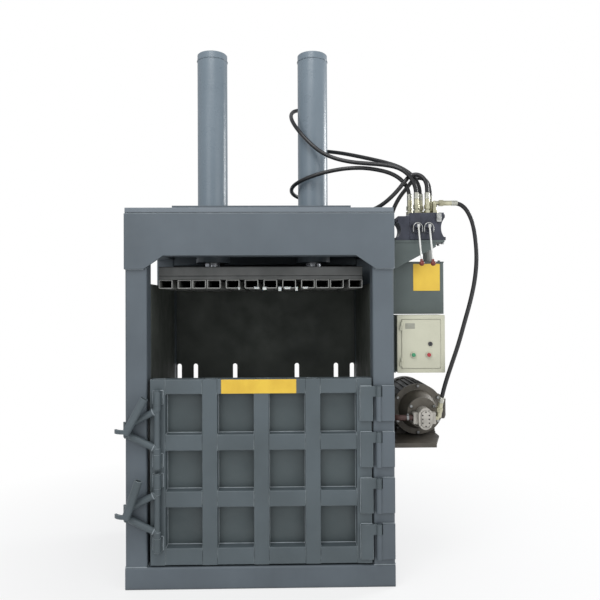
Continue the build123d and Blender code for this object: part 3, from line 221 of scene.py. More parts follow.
def leaf_runs(x0, x1, side_x, y):
    """Beads along the top, the foot and one side of every hinge leaf, in a plane that faces front."""
    runs = []
    for top in hinge_tops:
        foot = top - hinge_height
        runs.append(((x0, y, top), (x1, y, top)))
        runs.append(((x0, y, foot), (x1, y, foot)))
        runs.append(((side_x, y, foot), (side_x, y, top)))
    return runs


frame_paint = steel_finish("frame_enamel", photo_colour(93, 102, 109), photo_colour(75, 83, 89),
                           photo_colour(146, 154, 159), edge=0.5)
finish_nodes(frame_paint, "front_base_beam", "base_rails", "front_posts", "rear_posts", "header_plate",
             "top_beams", "wall_stiffeners", "cylinder_mount", "post_hinge_leaves", "lock_keepers")
# The top plate gets a paler copy of the frame's enamel: painted light from the open sky.
plate_painted_light = steel_finish("plate_enamel_painted_light", photo_colour(116, 124, 131), photo_colour(96, 104, 111),
                           photo_colour(160, 167, 171), edge=0.6)
finish_nodes(plate_painted_light, "top_plate")
# The weld beads are painted lighter than the enamel that covers them: a painted highlight along the beads.
weld_painted_highlight = steel_finish("weld_enamel_painted_highlight", photo_colour(154, 163, 167), photo_colour(118, 126, 131),
                          photo_colour(182, 190, 193), roughness=(0.35, 0.5), patch=30, edge_width=0.001,
                          grain=400, dirt_and_shade=0.2)
post_low, post_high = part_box("front_posts")
rear_low, rear_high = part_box("rear_posts")
header_low, header_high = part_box("header_plate")
leaf_low, leaf_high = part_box("post_hinge_leaves")
post_width = 0.108
post_inner = post_high.x - post_width
ear_inner = post_inner + 0.015
leaf_width = 0.062
hinge_count = 4
hinge_height = 0.173
hinge_pitch = (leaf_high.z - leaf_low.z - hinge_height) / (hinge_count - 1)
hinge_tops = [leaf_high.z - hinge_pitch * number for number in range(hinge_count)]
rung_count = 4
rung_height = 0.06
rung_face = post_high.x - 0.0005
lowest_rung = 0.3
rung_pitch = (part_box("wall_stiffeners")[1].z - rung_height / 2 - lowest_rung) / (rung_count - 1)
seam_inset = 0.004
seam_front = post_low.y - 0.0015
seam_level = header_high.z + 0.001
bead_inset = 0.006
frame_runs = [((header_low.x + seam_inset, seam_front, seam_level),
               (header_high.x - seam_inset, seam_front, seam_level))]
for side in (-1, 1):
    outer = side * post_high.x
    inner = side * post_inner
    frame_runs.append(((side * ear_inner, post_low.y, header_low.z), (outer, post_low.y, header_low.z)))
    frame_runs.append(((inner, post_low.y, post_low.z), (outer, post_low.y, post_low.z)))
    frame_runs.append(((inner, post_low.y + 2 * bead_inset, post_low.z), (inner, post_high.y, post_low.z)))
    for front_y, back_y in ((post_low.y + bead_inset, post_high.y), (rear_low.y, rear_high.y)):
        for level in (post_low.z, post_high.z):
            frame_runs.append(((outer, front_y, level), (outer, back_y, level)))
    for level in [lowest_rung + rung_pitch * number for number in range(rung_count)]:
        for end in (post_high.y, rear_low.y):
            frame_runs.append(((side * rung_face, end, level - rung_height / 2),
                               (side * rung_face, end, level + rung_height / 2)))
frame_runs += leaf_runs(leaf_high.x - leaf_width, leaf_high.x, leaf_high.x, post_low.y)
weld_beads("frame_welds", "frame", frame_runs, weld_painted_highlight)

# Chamber: steel plate for the side walls and the slotted rear wall, and a floor with grooves for the straps.
# Bales rub the paint off it, so the steel is dark and scraped.
chamber_steel = steel_finish("chamber_steel", photo_colour(84, 88, 82), photo_colour(56, 60, 56),
                             photo_colour(112, 116, 110), roughness=(0.5, 0.75), metallic=0.25, patch=3.5,
                             streak=0.8, dirt_and_shade=0.85)
finish_nodes(chamber_steel, "chamber_floor", "side_walls", "rear_wall")

# Platen: tubes laid front to back under a deck and welded to it, all bare steel that bales keep scraping,
# with the tubes painted lightest, partly as scraping and partly as painted light on their rims. Torn shreds
# of white film hang in the mouths and gaps of the middle ones.
platen_steel = steel_finish("platen_steel", photo_colour(96, 97, 96), photo_colour(62, 64, 62),
                            photo_colour(150, 152, 148), roughness=(0.4, 0.65), metallic=0.35, patch=6,
                            edge=0.8, dirt_and_shade=0.85)
finish_nodes(platen_steel, "platen_deck", "platen_channels", "rod_flanges")
# The tubes get a lighter copy of the platen's steel: partly scraped bright and partly painted light on their
# rims.
tube_steel_scraped_and_painted_light = steel_finish("tube_steel_scraped_and_painted_light", photo_colour(166, 166, 162), photo_colour(128, 129, 125),
                          photo_colour(205, 206, 202), roughness=(0.4, 0.65), metallic=0.3, patch=14,
                          edge=0.9, dirt_and_shade=0.3, edge_width=0.003)
finish_nodes(tube_steel_scraped_and_painted_light, "platen_tubes")
tubes_low, tubes_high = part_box("platen_tubes")
tube_groups = (1, 3, 1, 1, 1, 1, 3, 1)
strap_gap = 0.0275
tube_joint = 0.005
gaps_width = strap_gap * (len(tube_groups) - 1) + tube_joint * (sum(tube_groups) - len(tube_groups))
tube_width = (tubes_high.x - tubes_low.x - gaps_width) / sum(tube_groups)
tube_rounding = 0.005
bead_front = tubes_low.y + 0.0005
platen_runs = []
tube_start = tubes_low.x
for group in tube_groups:
    for number in range(group):
        platen_runs.append(((tube_start + tube_rounding, bead_front, tubes_high.z),
                            (tube_start + tube_width - tube_rounding, bead_front, tubes_high.z)))
        tube_start += tube_width + tube_joint
    tube_start += strap_gap - tube_joint
weld_beads("platen_welds", "platen", platen_runs, platen_steel, radius=0.0028)

film = bpy.data.materials.new("film_shreds")
film.use_nodes = True
film_nodes = film.node_tree.nodes
film_links = film.node_tree.links
film_shader = film_nodes["Principled BSDF"]
film_shader.inputs["Base Color"].default_value = photo_colour(232, 232, 226)
film_shader.inputs["Roughness"].default_value = 0.35
film_shader.inputs["Subsurface Weight"].default_value = 0.15
film_noise = film_nodes.new("ShaderNodeTexNoise")
film_noise.inputs["Scale"].default_value = 90
film_bump = film_nodes.new("ShaderNodeBump")
film_bump.inputs["Strength"].default_value = 0.6
film_bump.inputs["Distance"].default_value = 0.002
film_links.new(film_noise.outputs["Fac"], film_bump.inputs["Height"])
film_links.new(film_bump.outputs["Normal"], film_shader.inputs["Normal"])
film_random = random.Random(11)
film_strips = ((-0.118, -0.106, 0.008), (-0.036, -0.006, 0.004), (0.008, 0.030, 0.010),
               (0.088, 0.108, 0.016), (0.116, 0.158, 0.006), (0.176, 0.192, 0.015),
               (0.214, 0.246, 0.005))
film_inside = ((0.05, 0.006), (0.02, 0.0055), (0.002, 0.006), (-0.003, 0.003))
film_thickness = 0.0006
film_columns = 10
film_mesh = bmesh.new()
for x0, x1, drop in film_strips:
    middle = (x0 + x1) / 2
    rows = []
    for row, (y, z) in enumerate((*film_inside, (-0.004, -0.2 * drop), (-0.0035, -drop))):
        pinch = 1 - 0.09 * row * film_random.random()
        rows.append([film_mesh.verts.new((middle + (x0 - middle + (x1 - x0) * k / film_columns) * pinch,
                                          tubes_low.y + y - film_random.uniform(0, 0.0025),
                                          tubes_low.z + z + film_random.uniform(0, 0.0022)))
                     for k in range(film_columns + 1)])
    for first, second in zip(rows, rows[1:]):
        for k in range(film_columns):
            film_mesh.faces.new((first[k], first[k + 1], second[k + 1], second[k]))
film_piece = show_mesh("film_shreds", "platen", film_mesh, film, smooth=50)
film_piece.modifiers.new("thickness", "SOLIDIFY").thickness = film_thickness

# Cylinders: drawn tube under smooth enamel, closed by flat caps and welded into the mounting plate, with
# hard chromed rods below. Bright bolts hold the rods to the platen, and the same bolts are used all over.
cylinder_paint = steel_finish("cylinder_enamel", photo_colour(116, 128, 137), photo_colour(98, 110, 119),
                              photo_colour(165, 173, 179), roughness=(0.24, 0.36), patch=1.4, streak=0.25,
                              edge=0.3)
finish_nodes(cylinder_paint, "cylinder_barrels", "cylinder_ends", "cylinder_pipes")
chrome = steel_finish("hard_chrome", photo_colour(158, 160, 163), photo_colour(132, 134, 138),
                      photo_colour(190, 191, 193), roughness=(0.12, 0.22), metallic=1.0, edge=0.1,
                      dirt_and_shade=0.3)
finish_nodes(chrome, "cylinder_rods")
bright_steel = steel_finish("bright_steel", photo_colour(168, 170, 170), photo_colour(122, 124, 124),
                            photo_colour(205, 206, 206), roughness=(0.28, 0.45), metallic=0.9, edge=0.2,
                            patch=9, grain=400)
finish_nodes(bright_steel, "fasteners")


def bead_ring(mesh_data, centre, across, up, radius, drops, thin, fat):
    """A bead laid right round a tube or a bar, in drops that are thin and fat in turn."""
    turns = [2 * math.pi * number / drops for number in range(drops)]
    lay_tube(mesh_data,
             [centre + radius * (math.cos(turn) * across + math.sin(turn) * up) for turn in turns],
             [fat if number % 2 else thin for number in range(drops)], closed=True)


mount_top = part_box("cylinder_mount")[1].z
barrels_low, barrels_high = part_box("cylinder_barrels")
barrel_radius = barrels_high.y
ring_mesh = bmesh.new()
for x in (barrels_low.x + barrel_radius, barrels_high.x - barrel_radius):
    for level in (mount_top, barrels_high.z):
        bead_ring(ring_mesh, Vector((x, 0, level)), Vector((1, 0, 0)), Vector((0, 1, 0)), barrel_radius,
                  drops=150, thin=0.0028, fat=0.0036)
show_mesh("barrel_welds", "frame", ring_mesh, cylinder_paint, smooth=60)

# Door: uprights and rails welded to a sheet, sprayed like the frame but knocked and scraped more; its edges
# are painted lighter still, partly as that scraping and partly as a painted highlight, and the sheet in the
# recesses is painted darker, partly dirt and partly painted shade. Hinge blocks are welded on at the right
# and lock sleeves at the left. The top rail carries a bare yellow plate.
door_paint = steel_finish("door_enamel", photo_colour(86, 96, 101), photo_colour(68, 77, 80),
                          photo_colour(158, 167, 170), edge=0.9, patch=3, dirt_and_shade=0.2)
finish_nodes(door_paint, "door_frame", "door_hinge_leaves", "hinge_pins", "lock_sleeves")
# The recessed sheet gets a darker copy of the door's enamel: partly dirt and partly painted shade from the
# ribs.
panel_paint_dirt_and_painted_shade = steel_finish("door_panel_enamel_dirt_and_painted_shade", photo_colour(79, 89, 91), photo_colour(62, 71, 73),
                           photo_colour(128, 137, 140), patch=2.4, dirt_and_shade=0.75)
finish_nodes(panel_paint_dirt_and_painted_shade, "door_sheet")


def rectangle_runs(x0, x1, z0, z1, y):
    """The four sides of an upright rectangle in a plane that faces front."""
    corners = [(x0, y, z0), (x1, y, z0), (x1, y, z1), (x0, y, z1)]
    return list(zip(corners, corners[1:] + corners[:1]))


door_low, door_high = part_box("door_sheet")
columns = 4
rows = 3
upright = 0.076
recess = (door_high.x - door_low.x - (columns + 1) * upright) / columns
top_rail = 0.074
rail = 0.080
bottom_rail = 0.084
recess_height = (door_high.z - door_low.z - top_rail - (rows - 1) * rail - bottom_rail) / rows
door_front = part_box("door_frame")[0].y
corner_bead = 0.9 * (door_low.y - door_front)
door_runs = []
for column in range(columns):
    x0 = door_low.x + upright + column * (upright + recess)
    for row in range(rows):
        z0 = door_low.z + bottom_rail + row * (recess_height + rail)
        door_runs += rectangle_runs(x0, x0 + recess, z0, z0 + recess_height, door_low.y)
        for z in (z0, z0 + recess_height):
            for x in (x0, x0 + recess):
                door_runs.append(((x, door_low.y, z), (x, door_low.y - corner_bead, z)))
door_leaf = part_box("door_hinge_leaves")[0].x
door_runs += leaf_runs(door_leaf, door_high.x, door_leaf, door_front)
sleeves_low, sleeves_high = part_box("lock_sleeves")
sleeve_height = 0.068
sleeve_spread = 0.122
arm_boxes = [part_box(f"{name}_lock_arm") for name in ("upper", "lower")]
arm_levels = [(low.z + high.z) / 2 for low, high in arm_boxes]
for level in arm_levels:
    for foot in (level + sleeve_spread, level - sleeve_spread - sleeve_height):
        door_runs += rectangle_runs(sleeves_low.x, sleeves_high.x, foot, foot + sleeve_height, door_front)
weld_beads("door_welds", "door", door_runs, weld_painted_highlight, radius=0.0034)


def rounded_outline(width, height, corner):
    """Points round a rectangle with rounded corners, measured from its middle."""
    outline = []
    for side_x, side_z, start in ((1, 1, 0), (-1, 1, 90), (-1, -1, 180), (1, -1, 270)):
        for turn in [math.radians(start + 22.5 * step) for step in range(5)]:
            outline.append((side_x * (width / 2 - corner) + corner * math.cos(turn),
                            side_z * (height / 2 - corner) + corner * math.sin(turn)))
    return outline


def bare_plate(name, body, centre, width, height, material, thickness=0.0016, corner=0.003):
    """A plate stuck on to face front, with rounded corners and a softened edge; centre lies on its back."""
    softening = 0.0006
    mesh_data = bmesh.new()
    rings = []
    for inset, depth in ((0, 0), (0, 0.7 * thickness), (softening, thickness)):
        rings.append([mesh_data.verts.new((centre[0] + x * (1 - 2 * inset / width), centre[1] - depth,
                                           centre[2] + z * (1 - 2 * inset / height)))
                      for x, z in rounded_outline(width, height, corner)])
    skin_rings(mesh_data, rings)
    bmesh.ops.recalc_face_normals(mesh_data, faces=mesh_data.faces)
    return show_mesh(name, body, mesh_data, material)


yellow_enamel = steel_finish("yellow_enamel", photo_colour(232, 194, 68), photo_colour(214, 172, 56),
                             photo_colour(250, 226, 140), roughness=(0.3, 0.45), patch=12, dirt_and_shade=0.3,
                             streak=0.2, edge=0.4, edge_width=0.0008, grain=600)
plate_x = (door_low.x + door_high.x) / 2 - 0.012
bare_plate("door_plate", "door", (plate_x, door_front, door_high.z - top_rail / 2), width=0.374,
           height=0.070, material=yellow_enamel)

# Locks: two arms turn on pins in the door's sleeves, each with a pipe lever at its tip. Their bars are
# welded to the hubs by hand, and everything is sprayed with the door; the weld beads are painted lighter, as
# a painted highlight.
finish_nodes(door_paint, "upper_lock_arm", "lower_lock_arm", "upper_lock_lever", "lower_lock_lever")
lock_pin = Vector(((sleeves_low.x + sleeves_high.x) / 2, (arm_boxes[0][0].y + arm_boxes[0][1].y) / 2, 0))
lever_axis_x = post_low.x + 0.014
arm_spread = 0.095
hub_reach = 0.0195
arm_bar_radius = 0.017
knuckle_middle = 0.0223
inwards = Vector((0, 1, 0))
for name, level in zip(("upper", "lower"), arm_levels):
    arm_mesh = bmesh.new()
    for side in (-1, 1):
        hub = lock_pin + Vector((0, 0, level + side * arm_spread))
        along = (Vector((lever_axis_x, lock_pin.y, level + side * knuckle_middle)) - hub).normalized()
        bead_ring(arm_mesh, hub + along * hub_reach, along.cross(inwards), inwards, arm_bar_radius,
                  drops=44, thin=0.0025, fat=0.0032)
    show_mesh(f"{name}_arm_welds", f"{name}_arm", arm_mesh, weld_painted_highlight, smooth=60)

# Oil tank: a folded and welded steel tank, sprayed darker than the frame and filmed with oil and dust. A
# bare yellow plate is stuck on its front, and the filler on the lid has a grey moulded cap.
tank_paint = steel_finish("tank_enamel", photo_colour(88, 98, 96), photo_colour(66, 75, 73),
                          photo_colour(126, 135, 134), patch=4, streak=0.8)
finish_nodes(tank_paint, "oil_tank", "tank_lid", "valve_bracket")
tank_low, tank_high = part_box("oil_tank")
bare_plate("tank_plate", "frame", (tank_low.x + 0.195, tank_low.y, tank_high.z - 0.0765), width=0.140,
           height=0.141, material=yellow_enamel)
bracket_low, bracket_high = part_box("valve_bracket")
gusset_thickness = 0.012
gusset_top = bracket_high.z - gusset_thickness
gusset_low = gusset_top - 0.143
gusset_reach = bracket_high.x - 0.045
tank_side = tank_low.x
tank_runs = [((tank_side, y, tank_low.z), (tank_side, y, tank_high.z)) for y in (tank_low.y, tank_high.y)]
for y in (bracket_low.y, bracket_low.y + gusset_thickness):
    tank_runs.append(((tank_side, y, gusset_low), (tank_side, y, gusset_top)))
    tank_runs.append(((tank_side + seam_inset, y, gusset_top), (gusset_reach, y, gusset_top)))
weld_beads("tank_welds", "frame", tank_runs, tank_paint, radius=0.0028)
cap_plastic = steel_finish("cap_plastic", photo_colour(176, 178, 172), photo_colour(150, 152, 146),
                           photo_colour(200, 201, 196), roughness=(0.35, 0.5), patch=24, dirt_and_shade=0.5,
                           edge_width=0.001, grain=500)
cap_x = tank_low.x + 0.247
cap_y = tank_low.y + 0.200
cap_foot = tank_high.z + 0.006
cap_sides = 72
cap_grip = 0.0011
cap_profile = ((0.0186, 0.0002), (0.0186, 0.012), (0.0262, 0.0135), (0.0268, 0.017), (0.0268, 0.070),
               (0.0262, 0.0745), (0.0238, 0.0788), (0.0200, 0.0804), (0.006, 0.0808))
cap_mesh = bmesh.new()
cap_rings = []
for number, (radius, height) in enumerate(cap_profile):
    cap_ring = []
    for k in range(cap_sides):
        turn = 2 * math.pi * k / cap_sides
        rim = radius - cap_grip if 3 <= number <= 4 and k % 4 < 2 else radius
        cap_ring.append(cap_mesh.verts.new((cap_x + rim * math.cos(turn), cap_y + rim * math.sin(turn),
                                            cap_foot + height)))
    cap_rings.append(cap_ring)
skin_rings(cap_mesh, cap_rings)
show_mesh("filler_cap", "frame", cap_mesh, cap_plastic)

# Valve: cast blocks side by side, dark and oily, with two white hand levers under brown balls. A silver wire
# guard stands over each lever's pivot, and the inlet section carries a pale plugged block.
valve_paint = steel_finish("valve_enamel", photo_colour(58, 61, 74), photo_colour(30, 33, 42),
                           photo_colour(132, 130, 142), roughness=(0.22, 0.4), patch=18, dirt_and_shade=0.9, edge=0.8,
                           edge_width=0.002, grain=320)
finish_nodes(valve_paint, "valve_body")
lever_paint = steel_finish("lever_enamel", photo_colour(228, 228, 224), photo_colour(190, 190, 184),
                           photo_colour(240, 240, 238), roughness=(0.3, 0.45), patch=20, edge_width=0.001)
finish_nodes(lever_paint, "left_valve_lever", "right_valve_lever")
knob_plastic = steel_finish("knob_plastic", photo_colour(122, 48, 40), photo_colour(92, 36, 31),
                            photo_colour(160, 74, 62), roughness=(0.2, 0.34), patch=30, edge_width=0.001)
finish_nodes(knob_plastic, "left_lever_knob", "right_lever_knob")
yellow_zinc = steel_finish("yellow_zinc", photo_colour(198, 195, 170), photo_colour(152, 148, 124),
                           photo_colour(226, 224, 206), roughness=(0.25, 0.42), metallic=0.8, patch=22,
                           edge_width=0.0015, grain=400)
finish_nodes(yellow_zinc, "hose_fittings")
guard_wire = steel_finish("guard_wire", photo_colour(192, 193, 190), photo_colour(150, 151, 148),
                          photo_colour(216, 216, 214), roughness=(0.25, 0.4), metallic=0.85, patch=30,
                          edge=0.1, edge_width=0.0008, grain=600)
unit_front = post_low.y + 0.100
valve_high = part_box("valve_body")[1]
pivot_level = valve_high.z - 0.071
guard_wire_radius = 0.0021
guard_half = 0.0235
guard_front = unit_front - 0.0345
guard_foot = pivot_level - 0.0325
guard_arch = pivot_level - 0.009
guard_bend = 0.006
for name in ("left", "right"):
    guard_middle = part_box(f"{name}_valve_lever")[1].x - 0.0135
    guard_side = [(unit_front + 0.001, guard_foot)]
    for turn in [math.radians(22.5 * step) for step in range(5)]:
        guard_side.append((guard_front + guard_bend * (1 - math.sin(turn)),
                           guard_foot + guard_bend * (1 - math.cos(turn))))
    path = [Vector((guard_middle + guard_half, y, z)) for y, z in guard_side]
    for turn in [math.radians(15 * step) for step in range(13)]:
        path.append(Vector((guard_middle + guard_half * math.cos(turn), guard_front,
                            guard_arch + guard_half * math.sin(turn))))
    path += [Vector((guard_middle - guard_half, y, z)) for y, z in reversed(guard_side)]
    guard_mesh = bmesh.new()
    lay_tube(guard_mesh, path, [guard_wire_radius] * len(path), sides=10)
    show_mesh(f"{name}_lever_guard", "frame", guard_mesh, guard_wire, smooth=60)
plug_x = valve_high.x - 0.037
plug_level = valve_high.z - 0.027
block_thickness = 0.0152
bare_plate("plug_block", "frame", (plug_x, unit_front, plug_level), width=0.026, height=0.045,
           material=guard_wire, thickness=block_thickness, corner=0.004)
plug_mesh = bmesh.new()
for sides, stations in ((48, ((0, 0.0125), (0.004, 0.0125))), (6, ((0.004, 0.0095), (0.0085, 0.009)))):
    turns = [2 * math.pi * k / sides for k in range(sides)]
    plug_rings = []
    for distance, radius in stations:
        plug_y = unit_front - block_thickness - distance
        plug_rings.append([plug_mesh.verts.new((plug_x + radius * math.cos(turn), plug_y,
                                                plug_level + radius * math.sin(turn))) for turn in turns])
    skin_rings(plug_mesh, plug_rings)
bmesh.ops.recalc_face_normals(plug_mesh, faces=plug_mesh.faces)
show_mesh("valve_plug", "frame", plug_mesh, guard_wire)

# Control box: folded sheet with a cream powder coat, a door with two push buttons and a quarter-turn lock.
# The door closes on a dark rubber seal, and the place for a label on it is left bare.
box_coat = steel_finish("box_powder_coat", photo_colour(200, 199, 178), photo_colour(181, 180, 160),
                        photo_colour(222, 221, 208), roughness=(0.42, 0.55), patch=5, edge=0.15, dirt_and_shade=0.45,
                        grain=500, streak=0.3, edge_width=0.002)
finish_nodes(box_coat, "control_box", "box_door")
gear_plastic = steel_finish("gear_plastic", photo_colour(60, 60, 62), photo_colour(44, 44, 46),
                            photo_colour(80, 80, 82))
finish_nodes(gear_plastic, "control_gear", "box_lock")
green_plastic = steel_finish("green_plastic", photo_colour(66, 146, 106), photo_colour(52, 124, 88),
                             photo_colour(96, 168, 130), roughness=(0.2, 0.3), patch=40, edge_width=0.001)
finish_nodes(green_plastic, "green_button")
red_plastic = steel_finish("red_plastic", photo_colour(176, 58, 62), photo_colour(152, 48, 52),
                           photo_colour(200, 92, 92), roughness=(0.2, 0.3), patch=40, edge_width=0.001)
finish_nodes(red_plastic, "red_button")
seal_rubber = steel_finish("seal_rubber", photo_colour(58, 58, 54), photo_colour(40, 40, 38),
                           photo_colour(90, 90, 86), roughness=(0.6, 0.8), patch=20, edge=0.1, grain=500,
                           edge_width=0.001)
box_low, box_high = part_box("box_door")
seal_middle = Vector((box_high.x - 0.100, unit_front + 0.0018, (box_low.z + box_high.z) / 2))
seal_line = [seal_middle + Vector((x, 0, z))
             for x, z in rounded_outline(width=0.185, height=0.236, corner=0.008)]
seal_radius = 0.0032
seal_mesh = bmesh.new()
lay_tube(seal_mesh, seal_line, [seal_radius] * len(seal_line), sides=10, closed=True)
show_mesh("box_seal", "box_door", seal_mesh, seal_rubber, smooth=60)
label_enamel = steel_finish("label_enamel", photo_colour(160, 160, 146), photo_colour(140, 140, 128),
                            photo_colour(186, 186, 174), roughness=(0.4, 0.55), patch=40, edge_width=0.0005,
                            grain=700)
bare_plate("box_plate", "box_door", (box_high.x - 0.1575, unit_front - 0.003, box_high.z - 0.033),
           width=0.050, height=0.028, material=label_enamel, thickness=0.0008,
           corner=0.002)

# Motor and pump: a ribbed cast motor under a brown-grey coat that is thick with oily dust, a cast bell
# housing whose edges are painted light in patches, partly as wear and partly as painted highlights, and a
# small aluminium gear pump at the front. The steel suction pipe was painted red-brown and is held by a band
# clamp.
# Small screws hold the pump's cover and the terminal box's lid.
motor_paint = steel_finish("motor_enamel", photo_colour(80, 75, 66), photo_colour(54, 50, 44),
                           photo_colour(130, 122, 110), patch=9, dirt_and_shade=0.9, streak=0.7)
finish_nodes(motor_paint, "motor_housing", "fan_cover", "motor_shelf")
finish_nodes(bright_steel, "motor_rotor")
# The bell housing's edges are painted light in patches, partly as wear and partly as painted highlights.
cast_iron_worn_and_painted_highlight = steel_finish("bell_casting_worn_and_painted_highlight", photo_colour(112, 106, 96), photo_colour(66, 62, 55),
                         photo_colour(178, 174, 166), patch=14, dirt_and_shade=0.7, edge=0.9, grain=90)
finish_nodes(cast_iron_worn_and_painted_highlight, "bell_housing")
pump_aluminium = steel_finish("pump_aluminium", photo_colour(190, 186, 178), photo_colour(144, 141, 134),
                              photo_colour(216, 213, 208), roughness=(0.34, 0.5), metallic=0.6, patch=20,
                              edge_width=0.002, grain=260)
finish_nodes(pump_aluminium, "gear_pump")
pipe_primer = steel_finish("pipe_primer", photo_colour(82, 56, 51), photo_colour(56, 40, 37),
                           photo_colour(138, 92, 84), roughness=(0.4, 0.6), patch=14, dirt_and_shade=0.8, edge=0.3,
                           edge_width=0.0015, grain=300)
finish_nodes(pipe_primer, "suction_pipe")


def turn_piece(mesh_data, foot, axis, profile, sides):
    """A round piece along an axis; the profile holds pairs of distance from the foot and radius."""
    lay_tube(mesh_data, [foot + axis * distance for distance, radius in profile],
             [radius for distance, radius in profile], sides)


pump_low, pump_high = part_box("gear_pump")
pipe_radius = 0.015
pipe_level = (pump_low.z + pump_high.z) / 2
pipe_depth = pump_low.y + 0.052
band_bare = pipe_radius + 0.0002
band_outer = pipe_radius + 0.0014
clamp_width = 0.012
clamp_start = Vector((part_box("suction_pipe")[1].x - 0.022 - clamp_width, pipe_depth, pipe_level))
clamp_screw = clamp_start + Vector((clamp_width / 2, 0, pipe_radius + 0.0042))
clamp_mesh = bmesh.new()
turn_piece(clamp_mesh, clamp_start, Vector((1, 0, 0)),
           ((0, band_bare), (0.0008, band_outer), (clamp_width - 0.0008, band_outer),
            (clamp_width, band_bare)), sides=48)
turn_piece(clamp_mesh, clamp_screw, Vector((0, 1, 0)),
           ((-0.013, 0.0036), (-0.0125, 0.0042), (-0.0085, 0.0042), (-0.0084, 0.0033), (0.0095, 0.0033),
            (0.0100, 0.0026)), sides=16)
show_mesh("suction_clamp", "frame", clamp_mesh, bright_steel, smooth=35)

black_steel = steel_finish("black_steel", photo_colour(52, 50, 48), photo_colour(34, 33, 32),
                           photo_colour(112, 110, 106), roughness=(0.3, 0.45), metallic=0.6, patch=40,
                           edge_width=0.0008, grain=600)
gear_gap = 0.040
screw_inset = 0.0172
pump_middle = (pump_low.x + pump_high.x) / 2
pump_screws = [(side * screw_inset, step * gear_gap / 2) for side in (-1, 1) for step in (-1, 0, 1)]
pump_screws += [(0, side * (gear_gap / 2 + screw_inset)) for side in (-1, 1)]
pump_screw_mesh = bmesh.new()
for x, z in pump_screws:
    turn_piece(pump_screw_mesh, Vector((pump_middle + x, pump_low.y + 0.0004, pipe_level + z)),
               Vector((0, -1, 0)),
               ((0, 0.0036), (0.0026, 0.0036), (0.0031, 0.0032), (0.0031, 0.0018), (0.0012, 0.0017)),
               sides=24)
show_mesh("pump_screws", "frame", pump_screw_mesh, black_steel, smooth=40)

motor_low, motor_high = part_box("motor_housing")
shaft_level = pipe_level + gear_gap / 2
lid_front = motor_low.y + 0.029
lid_back = motor_low.y + 0.139
lid_low = shaft_level - 0.047
lid_high = shaft_level + 0.051
lid_thickness = 0.0035
lid_size = Vector((lid_thickness, lid_back - lid_front, lid_high - lid_low))
lid_centre = Vector((motor_high.x + lid_thickness / 2, (lid_front + lid_back) / 2, (lid_low + lid_high) / 2))
lid_place = Matrix.Translation(lid_centre) @ Matrix.Diagonal((*lid_size, 1))
lid_mesh = bmesh.new()
bmesh.ops.create_cube(lid_mesh, size=1, matrix=lid_place)
bmesh.ops.bevel(lid_mesh, geom=lid_mesh.edges[:], offset=0.0014, segments=3, affect="EDGES")
show_mesh("terminal_lid", "frame", lid_mesh, motor_paint)
lid_screw_inset = 0.009
screw_mesh = bmesh.new()
for y in (lid_front + lid_screw_inset, lid_back - lid_screw_inset):
    for z in (lid_low + lid_screw_inset, lid_high - lid_screw_inset):
        turn_piece(screw_mesh, Vector((motor_high.x + lid_thickness - 0.0004, y, z)), Vector((1, 0, 0)),
                   ((0, 0.0042), (0.0016, 0.0042), (0.0026, 0.0035), (0.0031, 0.0018)), sides=24)
show_mesh("terminal_screws", "frame", screw_mesh, bright_steel, smooth=40)

